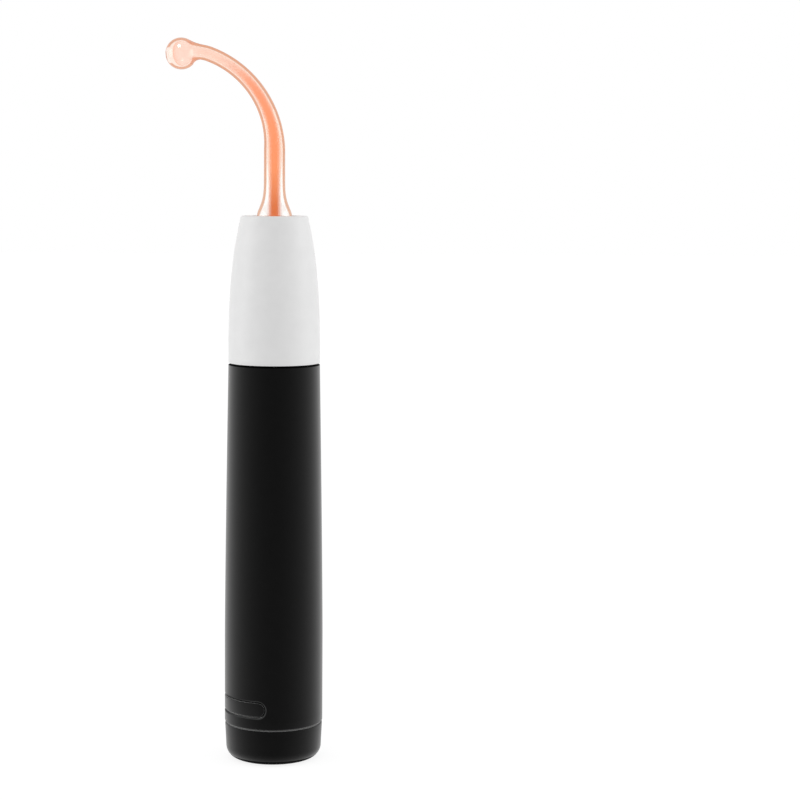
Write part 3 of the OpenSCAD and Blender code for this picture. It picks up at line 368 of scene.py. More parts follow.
# The rest, by CAD node: what it is made of and how
finishes = {
    "electrode_cap": moulded("nickel-plated brass", "#c9c5bb", "#d6d2c8", 0.2, 0.3, 0.001, 1.0),
    "electrode_lead": moulded("drawn nickel wire", "#a3a3a5", "#b5b5b7", 0.35, 0.2, 0.001, 1.0),
    "grip_bush": moulded("translucent silicone", "#d9d9d5", "#e2e2de", 0.55, 0.3, 0.002),
    "electrode_socket": moulded("moulded insulating resin", "#efece4", "#f4f1ea", 0.5, 0.4, 0.003),
    "contact_guide": moulded("turned brass", "#c4a158", "#d1af66", 0.3, 0.25, 0.002, 1.0, (1, 1, 8)),
    "contact_plunger": moulded("turned brass, polished tip", "#cfae66", "#dcbd77", 0.22, 0.2, 0.001, 1.0,
                               (1, 1, 8)),
    "contact_spring": moulded("drawn spring wire", "#b4b5b8", "#c4c5c8", 0.3, 0.15, 0.001, 1.0),
    "coil_cup": moulded("moulded grey resin", "#3a3a3e", "#434348", 0.55, 0.4, 0.003),
    "coil_former": moulded("moulded nylon", "#dfd6bf", "#e8e0cc", 0.5, 0.4, 0.002),
    "ferrite_core": moulded("sintered ferrite", "#3f3f43", "#4a4a4e", 0.62, 0.12, 0.006),
    "primary_winding": moulded("enamelled copper wire", "#a85c30", "#b96a3b", 0.3, 0.2, 0.002, 1.0),
    "secondary_winding": moulded("fine enamelled wire under varnish", "#86421f", "#984e28", 0.35, 0.1, 0.002,
                                 1.0),
    "primary_leads": moulded("red PVC insulation", "#9c2c24", "#a93328", 0.45, 0.3, 0.001),
    "output_lead": moulded("silicone insulation", "#e2ddd0", "#ebe6da", 0.5, 0.3, 0.001),
    "chassis": moulded("moulded black ABS", "#333336", "#3b3b3e", 0.55, 0.4, 0.004),
    "battery_cell": moulded("shrunk PVC sleeve", "#2a669e", "#3272ac", 0.3, 0.6, 0.002),
    "cell_tabs": moulded("nickel strip", "#c3c3be", "#cfcfca", 0.35, 0.15, 0.001, 1.0, (1, 1, 6)),
    "cell_pad": moulded("closed-cell foam", "#4b4b50", "#57575c", 0.9, 0.35, 0.05),
    "main_board": printed("lacquered glass laminate, long", (pi / 2, 0, 0)),
    "tail_board": printed("lacquered glass laminate, round", (0, 0, 0)),
    "drive_transistor": moulded("moulded epoxy, laser cut", "#1e1e21", "#26262a", 0.6, 0.12, 0.003),
    "board_chips": moulded("moulded epoxy", "#242427", "#2b2b2e", 0.55, 0.12, 0.002),
    "charge_chip": moulded("moulded epoxy, small", "#242427", "#2b2b2e", 0.55, 0.12, 0.002),
    "boost_inductor": moulded("ferrite block", "#444448", "#4f4f53", 0.6, 0.12, 0.004),
    "board_capacitors": moulded("ceramic body", "#a9844a", "#b79153", 0.4, 0.2, 0.001),
    "board_link": moulded("yellow PVC insulation", "#bfa63f", "#ccb44c", 0.45, 0.3, 0.001),
    "charging_socket": moulded("stamped steel shell", "#b3b5b8", "#c1c3c6", 0.28, 0.2, 0.001, 1.0),
    "socket_tongue": moulded("glass-filled resin", "#232325", "#2a2a2d", 0.5, 0.15, 0.002),
    "control_case": moulded("die-cast zinc", "#6b6d72", "#787a80", 0.42, 0.2, 0.003, 1.0),
    "control_track": moulded("phenolic laminate", "#633a20", "#714427", 0.55, 0.3, 0.002),
    "control_shaft": moulded("turned aluminium", "#cbcbc9", "#d6d6d4", 0.32, 0.15, 0.001, 1.0, (1, 1, 10)),
    "control_wiper": moulded("phosphor bronze leaf", "#bd9b55", "#cba964", 0.35, 0.2, 0.001, 1.0),
    "tail_plate": moulded("moulded black ABS, ribbed side", "#262628", "#2e2e30", 0.55, 0.4, 0.004),
    "tail_screws": moulded("zinc-plated steel", "#b9bcc0", "#c6c9cd", 0.3, 0.15, 0.001, 1.0),
}
for name, finish in finishes.items():
    nodes[name].data.materials.clear()
    nodes[name].data.materials.append(finish)
print("finishes ready")


# Modelling helpers

def inEdit(piece, action="SELECT"):
    selectOnly(piece)
    bpy.ops.object.mode_set(mode="EDIT")
    bpy.ops.mesh.select_all(action=action)


def outOfEdit():
    bpy.ops.object.mode_set(mode="OBJECT")


def selectOnly(*pieces):
    bpy.ops.object.select_all(action="DESELECT")
    for piece in pieces:
        piece.select_set(True)
    bpy.context.view_layer.objects.active = pieces[0]


def selectPoints(piece, chosen):
    # leaves the piece in edit mode with only the chosen points selected
    outOfEdit()
    inEdit(piece, "DESELECT")
    outOfEdit()
    for vertex in piece.data.vertices:
        vertex.select = chosen(vertex.co)
    bpy.ops.object.mode_set(mode="EDIT")


def applied(piece, kind, **settings):
    selectOnly(piece)
    bpy.ops.object.modifier_add(type=kind)
    modifier = piece.modifiers[-1]
    for key, value in settings.items():
        setattr(modifier, key, value)
    bpy.ops.object.modifier_apply(modifier=modifier.name)


def softened(piece, width, segments):
    # bevels the sharp edges
    applied(piece, "BEVEL", width=width * mm, segments=segments, limit_method="ANGLE",
            angle_limit=radians(50))


def joinPieces(first, *others):
    selectOnly(first, *others)
    bpy.ops.object.join()
    return first


def cutBy(piece, cutter, operation="DIFFERENCE"):
    applied(piece, "BOOLEAN", operation=operation, object=cutter, solver="EXACT")
    bpy.data.objects.remove(cutter)


def swing(piece, turn):
    # turns a piece about the handle's axis, from the front round to the left
    piece.rotation_euler = (0, 0, -radians(turn))
    selectOnly(piece)
    bpy.ops.object.transform_apply(rotation=True)


def settle(piece, angle=35):
    # puts the piece's place into its mesh, turns its faces outwards and smooths its rounds
    selectOnly(piece)
    bpy.ops.object.transform_apply(location=True, rotation=True, scale=True)
    inEdit(piece)
    bpy.ops.mesh.remove_doubles(threshold=0.000002)
    bpy.ops.mesh.normals_make_consistent(inside=False)
    outOfEdit()
    bpy.ops.object.shade_smooth_by_angle(angle=radians(angle))


def dress(piece, finish, body, slot, *replaced):
    if finish:
        piece.data.materials.clear()
        piece.data.materials.append(finish)
    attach(piece, body)
    if replaced:
        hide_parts(*replaced)


def refinish(piece, finish, chosen):
    # a second finish on the faces chosen by the place of their middle and by how far they look outwards
    piece.data.materials.append(finish)
    for face in piece.data.polygons:
        outwards = face.normal.dot(Vector((face.center.x, face.center.y, 0)).normalized())
        if chosen(face.center / mm, outwards):
            face.material_index = len(piece.data.materials) - 1


def turned(name, profile, sides=160):
    # lathe work: a circle pulled from ring to ring round a closed outline of (radius, height)
    radius, height = profile[0]
    bpy.ops.mesh.primitive_circle_add(vertices=sides, radius=radius * mm, location=(0, 0, height * mm))
    piece = bpy.context.object
    piece.name = name
    bpy.ops.object.transform_apply(location=True)
    inEdit(piece)
    for nextRadius, nextHeight in profile[1:]:
        bpy.ops.mesh.extrude_edges_move(TRANSFORM_OT_translate={"value": (0, 0, (nextHeight - height) * mm)})
        k = max(nextRadius, 0.001) / radius
        bpy.ops.transform.resize(value=(k, k, 1), center_override=(0, 0, nextHeight * mm))
        radius, height = max(nextRadius, 0.001), nextHeight
    if profile[-1][0] == 0:
        bpy.ops.mesh.merge(type="CENTER")
    outOfEdit()
    return piece


def eased(share):
    share = min(1, max(0, share))
    return share * share * (3 - 2 * share)


def arc(x, y, r, start, end, steps):
    return [(x + r * cos(radians(start + (end - start) * i / steps)),
             y + r * sin(radians(start + (end - start) * i / steps))) for i in range(steps + 1)]


# Glass electrode

glass = {
    "noseTop": 168.4, "stemTop": 188.9, "footRadius": 5.4, "stemRadius": 3.25, "wall": 0.9, "sides": 96,
    "flareHeight": 9.9, "flareFall": 0.4, "flarePower": 1.7, "bendRadius": 30, "bendAngle": 70,
    "tipRadius": 11.25, "tipAngle": 28.6, "tipStraight": 3, "neckRadius": 2.3, "neckHollow": 4.7,
    "taper": 2.2, "ballRadius": 4.82, "footBottom": 137.5, "footRound": 1.6, "leadHole": 0.42,
    "inCap": 4.85, "capTop": 148.4, "capStep": 0.45, "warmFrom": -15, "warmOver": 14,
    "thinFrom": 3.2, "thinOver": 1.5, "thinTo": 5,
}
bendLength = glass["bendRadius"] * radians(glass["bendAngle"])
tipLength = glass["tipRadius"] * radians(glass["tipAngle"])
ballAt = bendLength + tipLength + glass["tipStraight"]
neckReach = glass["neckRadius"] + glass["neckHollow"]
ballReach = glass["ballRadius"] + glass["neckHollow"]
hollowSpan = sqrt(ballReach ** 2 - neckReach ** 2)
touchSpan = hollowSpan * glass["ballRadius"] / ballReach


def headingAt(s):
    if s < 0:
        return 0.0
    if s < bendLength:
        return s / glass["bendRadius"]
    return radians(glass["bendAngle"]) + min(s - bendLength, tipLength) / glass["tipRadius"]


def placeAt(s):
    # middle of the glass at a length along it, counted from the top of the straight stem
    h, bend = headingAt(s), radians(glass["bendAngle"])
    x = glass["bendRadius"] * (cos(min(h, bend)) - 1)
    z = glass["bendRadius"] * sin(min(h, bend))
    if h > bend:
        x += glass["tipRadius"] * (cos(h) - cos(bend))
        z += glass["tipRadius"] * (sin(h) - sin(bend))
    rest = s if s < 0 else max(0, s - bendLength - tipLength)
    return Vector((x - rest * sin(h), 0, glass["stemTop"] + z + rest * cos(h)))


def alongAt(point):
    # length along the glass of a point in or on it
    x, z = point.x / mm, point.z / mm - glass["stemTop"]
    if z < 0 and x > -10:
        return z
    bend = radians(glass["bendAngle"])
    h = atan2(z, x + glass["bendRadius"])
    if h <= bend and x > -19.7:
        return h * glass["bendRadius"]
    tip = placeAt(bendLength)
    z = point.z / mm - tip.z
    along = (x - tip.x) * -sin(bend) + z * cos(bend)
    turned = atan2(along, glass["tipRadius"] - ((x - tip.x) * -cos(bend) - z * sin(bend)))
    if turned < radians(glass["tipAngle"]):
        return bendLength + max(0, turned) * glass["tipRadius"]
    end, h = placeAt(bendLength + tipLength), headingAt(ballAt)
    return bendLength + tipLength + max(0, (x - end.x) * -sin(h) + (point.z / mm - end.z) * cos(h))


def radiusAt(s):
    # outside of the glass at that length: foot, flare, stem, narrowing arm, hollow neck and ball
    z = glass["stemTop"] + s
    if z < glass["noseTop"]:
        return glass["footRadius"]
    if s < 0:
        rise = (z - glass["noseTop"]) / glass["flareHeight"]
        fall = exp(-((rise / glass["flareFall"]) ** glass["flarePower"]))
        return glass["stemRadius"] + (glass["footRadius"] - glass["stemRadius"]) * fall
    left = ballAt - s
    if left > hollowSpan:
        share = 1 - min(1, s / (ballAt - hollowSpan))
        return glass["neckRadius"] + (glass["stemRadius"] - glass["neckRadius"]) * share ** glass["taper"]
    if left > touchSpan:
        return neckReach - sqrt(glass["neckHollow"] ** 2 - (hollowSpan - left) ** 2)
    return sqrt(max(0.0001, glass["ballRadius"] ** 2 - left ** 2))


def drawTube(name, stations, sides):
    # a ring pulled along the glass's path, turned with it and resized at every station of (length, radius)
    s, radius = stations[0]
    at, heading = placeAt(s), headingAt(s)
    bpy.ops.mesh.primitive_circle_add(vertices=sides, radius=radius * mm, location=at * mm,
                                      rotation=(0, -heading, 0))
    piece = bpy.context.object
    piece.name = name
    bpy.ops.object.transform_apply(location=True, rotation=True)
    inEdit(piece)
    for nextS, nextRadius in stations[1:]:
        nextAt, nextHeading = placeAt(nextS), headingAt(nextS)
        bpy.ops.mesh.extrude_edges_move(TRANSFORM_OT_translate={"value": (nextAt - at) * mm})
        if nextHeading != heading:
            bpy.ops.transform.rotate(value=nextHeading - heading, orient_axis="Y",
                                     center_override=nextAt * mm)
        k = nextRadius / radius
        bpy.ops.transform.resize(value=(k, k, k), center_override=nextAt * mm)
        at, heading, radius = nextAt, nextHeading, nextRadius
    outOfEdit()
    return piece


def closeRing(piece, first, sides):
    # an end ring, now very small, goes to one point
    outOfEdit()
    inEdit(piece, "DESELECT")
    outOfEdit()
    for vertex in piece.data.vertices[first:first + sides]:
        vertex.select = True
    bpy.ops.object.mode_set(mode="EDIT")
    bpy.ops.mesh.merge(type="CENTER")
    outOfEdit()


def glassStations():
    low, cap, top = (glass[key] - glass["stemTop"] for key in ("footBottom", "capTop", "noseTop"))
    soft, mouth, flareEnd = glass["footRound"], glass["inCap"], glass["flareHeight"] * 1.2
    turns = [radians(a) for a in range(0, 91, 15)]
    rim = [(low + soft * (1 - cos(a)), mouth - soft + soft * sin(a)) for a in turns]
    foot = [(low, glass["leadHole"]), (low, 1.5)] + rim
    foot += [(cap, mouth), (cap + glass["capStep"], glass["footRadius"]), (top, glass["footRadius"])]
    flare = [top + flareEnd * i / 18 for i in range(1, 19)]
    bend = [i * (ballAt - hollowSpan) / 64 for i in range(65)]
    neck = [ballAt - hollowSpan + (hollowSpan - touchSpan) * i / 8 for i in range(1, 9)]
    ball = [ballAt - glass["ballRadius"] * cos(radians(a)) for a in range(46, 178, 6)]
    ball = [s for s in ball if s > ballAt - touchSpan + 0.05]
    return foot + [(s, radiusAt(s)) for s in flare + bend + neck + ball]


def lineWidthAt(s):
    # the outline thins out at the far end of the ball
    if s < ballAt:
        return radiusAt(s)
    share = eased((s - ballAt - glass["thinFrom"]) / glass["thinOver"])
    return glass["ballRadius"] * (1 + glass["thinTo"] * share)


def writeValues(piece, **values):
    # numbers at the mesh's points, which the materials read
    for name, numbers in values.items():
        piece.data.attributes.new(name, "FLOAT", "POINT")
        piece.data.attributes[name].data.foreach_set("value", numbers)


tube = drawTube("glassTube", glassStations(), glass["sides"])
closeRing(tube, len(tube.data.vertices) - glass["sides"], glass["sides"])
settle(tube)
lengths = [alongAt(vertex.co) for vertex in tube.data.vertices]
writeValues(tube, halfWidth=[lineWidthAt(s) for s in lengths],
            warmth=[eased((s - glass["warmFrom"]) / glass["warmOver"]) for s in lengths])
tube.data.materials.append(glassFinish)
tube.data.materials.append(boreFinish)
applied(tube, "SOLIDIFY", thickness=glass["wall"] * mm, offset=-1, use_even_offset=True, material_offset=1)
bpy.ops.object.shade_smooth_by_angle(angle=radians(60))
dress(tube, None, "electrode", "electrode_glass", "electrode_glass")
bpy.data.collections["litByBallLamp"].objects.link(tube)
print("glass drawn")


# Glow in the gas

neon = {
    "bottom": 153.5, "sides": 40,
    # for each core: radius at the nose and in the stem, most of the bore it may take, how full it is,
    # and how far along the arm it begins to fade and is gone
    "cores": [(1.1, 0.95, 0.5, 0.85, 12, 29), (1.75, 1.5, 0.72, 0.5, 15, 32), (2.3, 2.0, 0.88, 0.32, 18, 36)],
    "narrowing": 12, "fill": 0.3, "fillFrom": -17, "fillRise": 17, "dip": 0.22, "ballExtra": 0.4,
    "ballLong": 2.6, "ballWide": 3.8, "skinBefore": 0.4,
}


def glowStations(atNose, atStem, most, end):
    low, top = neon["bottom"] - glass["stemTop"], glass["noseTop"] - glass["stemTop"]
    stations = [(low, 0.02), (low + 0.15, atNose * 0.5), (low + 0.6, atNose * 0.9)]
    for i in range(57):
        s = low + 1.2 + (end - low - 1.2) * i / 56
        share = min(1, max(0, (s - top) / neon["narrowing"]))
        stations.append((s, min(atNose + (atStem - atNose) * share, (radiusAt(s) - glass["wall"]) * most)))
    return stations + [(end + 0.3, 0.02)]


def fillStations():
    low = neon["fillFrom"]
    stations = [(low, 0.02)]
    for i in range(1, 51):
        s = low + (ballAt - hollowSpan - low) * i / 50
        stations.append((s, (radiusAt(s) - glass["wall"]) * min(0.95, 0.3 + 0.65 * sqrt(i / 12))))
    near = [ballAt - hollowSpan + hollowSpan * i / 14 for i in range(1, 15)]
    k = neon["ballWide"] / (glass["ballRadius"] - 1)
    stations += [(s, (radiusAt(s) - 1) * k) for s in near]
    for a in range(98, 177, 8):
        stations.append((ballAt - neon["ballLong"] * cos(radians(a)), neon["ballWide"] * sin(radians(a))))
    stations.append((ballAt + neon["ballLong"], 0.02))
    return stations


def glowShell(stations, fullness, skin):
    shell = drawTube("glowShell", stations, neon["sides"])
    for first in (len(shell.data.vertices) - neon["sides"], 0):
        closeRing(shell, first, neon["sides"])
    settle(shell, 60)
    low, high = neon["bottom"] - glass["stemTop"], ballAt + glass["ballRadius"]
    lengths = [alongAt(vertex.co) for vertex in shell.data.vertices]
    writeValues(shell, along=[(s - low) / (high - low) for s in lengths],
                fullness=[fullness(s) for s in lengths], skin=[skin(s) for s in lengths])
    return shell


def coreFullness(full, fades, gone):
    return lambda s: full * (1 - eased((s - fades) / (gone - fades)))


def fillFullness(s):
    # rises in the stem, dips in the arm before the ball and comes back in it
    rise = neon["fill"] * eased((s - neon["fillFrom"]) / neon["fillRise"])
    dip, extra = neon["dip"] * eased((s - ballAt + 7) / 4), neon["ballExtra"] * eased((s - ballAt) / 2)
    return rise * (1 - dip + extra)


def fillSkin(s):
    return neon["skinBefore"] + (1 - neon["skinBefore"]) * eased((s - ballAt + 1) / 2.5)


shells = [glowShell(glowStations(atNose, atStem, most, gone), coreFullness(full, fades, gone), lambda s: 0)
          for atNose, atStem, most, full, fades, gone in neon["cores"]]
shells.append(glowShell(fillStations(), fillFullness, fillSkin))
glow = joinPieces(*shells)
glow.name = "neonGlow"
dress(glow, neonFinish, "electrode", None)
print("glow made")


# Nose cone

nose = {
    "bottom": 123.4, "length": 45, "baseRadius": 14.05, "tipRadius": 10.2, "curve": 2.8,
    "wall": 2, "wallFoot": 3.5, "hole": 6.1, "lipBottom": 165.2, "tipRound": 0.7, "edgeRound": 0.12,
    "spigot": 6, "spigotRadius": 12.2, "spigotWall": 1.6, "spigotTop": 2, "spigotLead": 0.4,
    "bead": 0.2, "beadDown": 3, "beadHalf": 0.4,
}


def noseAt(z):
    share = (z - nose["bottom"]) / nose["length"]
    return nose["baseRadius"] - (nose["baseRadius"] - nose["tipRadius"]) * share ** nose["curve"]


def noseProfile():
    low, top = nose["bottom"], nose["bottom"] + nose["length"]
    base, edge, hole = nose["baseRadius"], nose["edgeRound"], nose["hole"]
    roundZ, lipLow, foot = top - nose["tipRound"], nose["lipBottom"], low + nose["wallFoot"]
    heights = [low + edge + (roundZ - low - edge) * i / 26 for i in range(27)]
    outer = [(base - edge, low), (base - edge * 0.3, low + edge * 0.3)] + [(noseAt(z), z) for z in heights]
    tip = arc(noseAt(roundZ) - nose["tipRound"], roundZ, nose["tipRound"], 12, 90, 8)
    lip = [(hole + 0.4, top), (hole + 0.12, top - 0.12), (hole, top - 0.4), (hole, lipLow)]
    down = [foot + (lipLow - foot) * i / 12 for i in range(12, -1, -1)]
    inner = [(noseAt(z) - nose["wall"], z) for z in down]
    out, end, lead = nose["spigotRadius"], low - nose["spigot"], nose["spigotLead"]
    beadZ, half = low - nose["beadDown"], nose["beadHalf"]
    spigot = [(out - nose["spigotWall"], low + nose["spigotTop"]), (out - nose["spigotWall"], end),
              (out - lead, end), (out, end + lead), (out, beadZ - half), (out + nose["bead"], beadZ),
              (out, beadZ + half), (out, low), (base - edge, low)]
    return outer + tip + lip + inner + spigot


shellNose = turned("noseShell", noseProfile())
settle(shellNose)
dress(shellNose, satinNose, "handle", "nose_white", "nose_cone")
print("nose made")


# Port pocket, cover and anchor

port = {
    "height": 17.75, "near": 10.06, "far": 109.94, "turn": 60, "hinge": 95.24, "hingeGap": 0.12,
    "outside": 15.2, "groove": 0.3, "rim": 0.45, "floor": 14.3, "cutTo": 16.1, "coverHeight": 4.3,
    "coverInside": 14.5, "anchorInside": 14.35, "soft": 0.32, "plug": 1.0, "plugFrom": 12.83, "barTop": 14.6,
    "slotWidth": 5.68, "window": 1.83, "windowFrom": 10.4, "windowTo": 14.4, "stemTurn": 100.7, "stem": 1.1,
    "stemFit": 0.05, "holeFrom": 12.5, "holeTo": 14.8, "head": 1.6, "headFrom": 12.2, "headTo": 13.0,
    "headSoft": 0.25,
}
nearby = 0.00001


def wrappedPlate(name, turn0, turn1, height, inside, outside, roundNear=True, roundFar=True, soft=0.0,
                 flareFrom=None):
    # flat plate with full round ends, cut across, then bent round the handle by Simple Deform
    middle = (inside + outside) / 2
    width = radians(turn1 - turn0) * middle
    endAt = (width - height) / 2
    grown = outside - flareFrom if flareFrom else 0
    bpy.ops.mesh.primitive_circle_add(vertices=48, radius=height / 2 * mm, fill_type="NGON",
                                      rotation=(pi / 2, 0, 0))
    plate = bpy.context.object
    plate.name = name
    bpy.ops.object.transform_apply(rotation=True)
    selectPoints(plate, lambda co: co.x > nearby)
    bpy.ops.transform.translate(value=(2 * endAt * mm, 0, 0))
    bpy.ops.mesh.select_all(action="SELECT")
    bpy.ops.transform.translate(value=(-endAt * mm, (outside - inside) / 2 * mm, 0))
    thick = (flareFrom or outside) - inside
    bpy.ops.mesh.extrude_region_move(TRANSFORM_OT_translate={"value": (0, -thick * mm, 0)})
    if flareFrom:
        # the outline widens as fast as it comes out, each round end from its own middle
        bpy.ops.mesh.extrude_region_move(TRANSFORM_OT_translate={"value": (0, -grown * mm, 0)})
        k = (height / 2 + grown) / (height / 2)
        front = (inside - outside) / 2 * mm + nearby
        for side in (-1, 1):
            selectPoints(plate, lambda co: co.x * side > 0 and co.y < front)
            bpy.ops.transform.resize(value=(k, 1, k), center_override=(side * endAt * mm, 0, 0))
    for flat, at in ((not roundNear, endAt), (not roundFar, -endAt)):
        if flat:
            bpy.ops.mesh.select_all(action="SELECT")
            bpy.ops.mesh.bisect(plane_co=(at * mm, 0, 0), plane_no=(1, 0, 0), use_fill=True,
                                clear_inner=at < 0, clear_outer=at > 0)
            outOfEdit()
            for vertex in plate.data.vertices:
                vertex.select = abs(vertex.co.x - at * mm) < nearby / 10
            bpy.ops.object.mode_set(mode="EDIT")
            bpy.ops.transform.translate(value=((height / 2 if at > 0 else -height / 2) * mm, 0, 0))
    bpy.ops.mesh.select_all(action="SELECT")
    bpy.ops.mesh.normals_make_consistent(inside=False)
    outOfEdit()
    if soft:
        softened(plate, soft, 4)
    inEdit(plate)
    steps = int(width / 0.8)
    for i in range(1, steps):
        bpy.ops.mesh.select_all(action="SELECT")
        bpy.ops.mesh.bisect(plane_co=((i / steps - 0.5) * width * mm, 0, 0), plane_no=(1, 0, 0))
    outOfEdit()
    applied(plate, "SIMPLE_DEFORM", deform_method="BEND", deform_axis="Z",
            angle=radians(turn1 - turn0) * (1 + 2 * grown / width))
    inEdit(plate)
    bpy.ops.transform.translate(value=(0, -middle * mm, port["height"] * mm))
    outOfEdit()
    swing(plate, (turn0 + turn1) / 2)
    return plate


def radialBar(name, turn, radius, start, end, flat=0.0):
    # bar that points out of the wall at an angle from the front; flat pulls it out into a slot
    bpy.ops.mesh.primitive_cylinder_add(vertices=48, radius=radius * mm, depth=(end - start) * mm,
                                        rotation=(pi / 2, 0, 0))
    bar = bpy.context.object
    bar.name = name
    bpy.ops.object.transform_apply(rotation=True)
    if flat:
        for side in (-1, 1):
            selectPoints(bar, lambda co: co.x * side > nearby)
            bpy.ops.transform.translate(value=(side * flat / 2 * mm, 0, 0))
        outOfEdit()
    inEdit(bar)
    bpy.ops.transform.translate(value=(0, -(start + end) / 2 * mm, port["height"] * mm))
    outOfEdit()
    swing(bar, turn)
    return bar


degPerMm = 180 / (pi * port["outside"])
coverStart, coverEnd = port["near"] + port["groove"] * degPerMm, port["hinge"] - port["hingeGap"] * degPerMm
flap = wrappedPlate("portFlap", coverStart, coverEnd, port["coverHeight"], port["coverInside"],
                    port["outside"], True, False, port["soft"])
plug = radialBar("plug", port["turn"], port["plug"], port["plugFrom"], port["barTop"], port["slotWidth"])
settle(flap, 40)
settle(plug, 40)
dress(joinPieces(flap, plug), silicone, "port_cover", "cover_silicone", "port_cover")

anchorStart, anchorEnd = port["hinge"] + port["hingeGap"] * degPerMm, port["far"] - port["groove"] * degPerMm
anchorPad = wrappedPlate("coverAnchor", anchorStart, anchorEnd, port["coverHeight"], port["anchorInside"],
                         port["outside"], False, True, port["soft"])
anchorStem = radialBar("anchorStem", port["stemTurn"], port["stem"], port["headTo"] - 0.1, port["barTop"])
anchorHead = radialBar("anchorHead", port["stemTurn"], port["head"], port["headFrom"], port["headTo"])
softened(anchorHead, port["headSoft"], 3)
for part in (anchorPad, anchorStem, anchorHead):
    settle(part, 40)
dress(joinPieces(anchorPad, anchorStem, anchorHead), silicone, "handle", "cover_silicone", "cover_anchor")
print("port cover made")


# Barrel

barrel = {
    "bottom": 11.6, "top": 123.4, "straightTop": 38.4, "radius": 15.2, "topRadius": 14.05, "ease": 1.3,
    "wall": 1.8, "chamfer": 0.25, "gapHeight": 0.65, "gapDepth": 0.45, "spigotSeat": 7, "beadDown": 3,
    "bead": 0.25, "beadHalf": 0.4, "sides": 192, "bareInside": 14,
}
boss = {"turns": (150, 330), "ring": 11.4, "radius": 2.2, "low": 13.4, "high": 20.4, "soft": 0.2,
        "pilot": 0.9, "pilotDepth": 7, "pilotMiddle": 2.8}


def barrelAt(z):
    if z < barrel["straightTop"]:
        return barrel["radius"]
    share = (z - barrel["straightTop"]) / (barrel["top"] - barrel["straightTop"])
    return barrel["radius"] - (barrel["radius"] - barrel["topRadius"]) * share ** barrel["ease"]


def barrelProfile():
    low, top, radius, wall = barrel["bottom"], barrel["top"], barrel["radius"], barrel["wall"]
    gapZ, straight = top - barrel["gapHeight"], barrel["straightTop"]
    inset = barrel["topRadius"] - barrel["gapDepth"]
    heights = [low + 0.5, 14.5, 21, 27, 33] + [straight + (gapZ - straight) * i / 22 for i in range(23)]
    outer = [(barrelAt(z), z) for z in heights]
    corner = (radius - barrel["chamfer"], low)
    rim = [corner, (radius - 0.07, low + 0.18)]
    topEdge = [(barrel["topRadius"] - 0.1, gapZ + 0.06), (inset, gapZ + 0.08), (inset, top)]
    boreR, beadZ, half = barrel["topRadius"] - wall, top - barrel["beadDown"], barrel["beadHalf"]
    bore = [(boreR, top), (boreR, beadZ + half), (boreR + barrel["bead"], beadZ), (boreR, beadZ - half),
            (boreR, top - barrel["spigotSeat"])]
    inner = [(barrelAt(z) - wall, z) for z in (108, 96, 80, 60, straight)]
    return rim + outer + topEdge + bore + inner + [(radius - wall, low), corner]


# the unpainted inside, and the gap under the nose as painted shade
def isBareOrPaintedShadeBarrel(at, out):
    return at.z > barrel["top"] - barrel["gapHeight"] - 0.01 or at.xy.length < barrel["bareInside"]


def isPaintedRimHighlight(at, out):
    # the chamfer round the pocket looks slantwise outwards; these faces get the painted highlight
    return 0.4 < out < 0.92 and abs(at.z - port["height"]) < 3.2 and at.xy.length > port["barTop"]


shellBarrel = turned("barrelShell", barrelProfile(), barrel["sides"])
settle(shellBarrel)
cutBy(shellBarrel, wrappedPlate("pocket", port["near"], port["far"], port["coverHeight"] + 2 * port["groove"],
                                port["floor"], port["cutTo"], flareFrom=port["outside"] - port["rim"]))
cutBy(shellBarrel, radialBar("window", port["turn"], port["window"], port["windowFrom"], port["windowTo"],
                             port["slotWidth"]))
cutBy(shellBarrel, radialBar("stemHole", port["stemTurn"], port["stem"] + port["stemFit"], port["holeFrom"],
                             port["holeTo"]))
for turn in boss["turns"]:
    x, y = (-boss["ring"] * f(radians(turn)) for f in (sin, cos))
    middle, pilotMiddle = (boss["low"] + boss["high"]) / 2, boss["low"] + boss["pilotMiddle"]
    bpy.ops.mesh.primitive_cylinder_add(vertices=40, radius=boss["radius"] * mm,
                                        depth=(boss["high"] - boss["low"]) * mm,
                                        location=(x * mm, y * mm, middle * mm))
    post = bpy.context.object
    softened(post, boss["soft"], 2)
    cutBy(shellBarrel, post, "UNION")
    bpy.ops.mesh.primitive_cylinder_add(vertices=24, radius=boss["pilot"] * mm, depth=boss["pilotDepth"] * mm,
                                        location=(x * mm, y * mm, pilotMiddle * mm))
    cutBy(shellBarrel, bpy.context.object)
settle(shellBarrel, 30)
dress(shellBarrel, softTouch, "handle", "barrel_soft_touch", "barrel")
# painted shade: the gap under the nose turns dead black; the inside stays unpainted
refinish(shellBarrel, bareAbsAndPaintedShade, isBareOrPaintedShadeBarrel)
# painted highlight: the pocket's chamfered rim gets the lighter grey paint
refinish(shellBarrel, rimPaintedHighlight, isPaintedRimHighlight)
print("barrel made")


# Dial

dial = {
    "height": 11.2, "rim": 15.1, "low": 14.75, "round": 4, "wall": 2, "floor": 2.2, "bowl": 3, "rest": 6,
    "hub": 5, "hubTop": 7.02, "shaft": 3.02, "shaftBottom": 2.6, "flat": 2.27, "flatOut": 3.6,
    "flatWidth": 4.4, "flatBottom": 2.4, "ribs": 8, "ribWidth": 1, "ribTop": 6.02, "ribEnd": 11.0,
    # foot: height of the painted shade band at the dial's bottom
    "sunk": 0.3, "ribSoft": 0.2, "foot": 1.35, "bareInside": 13.4,
}


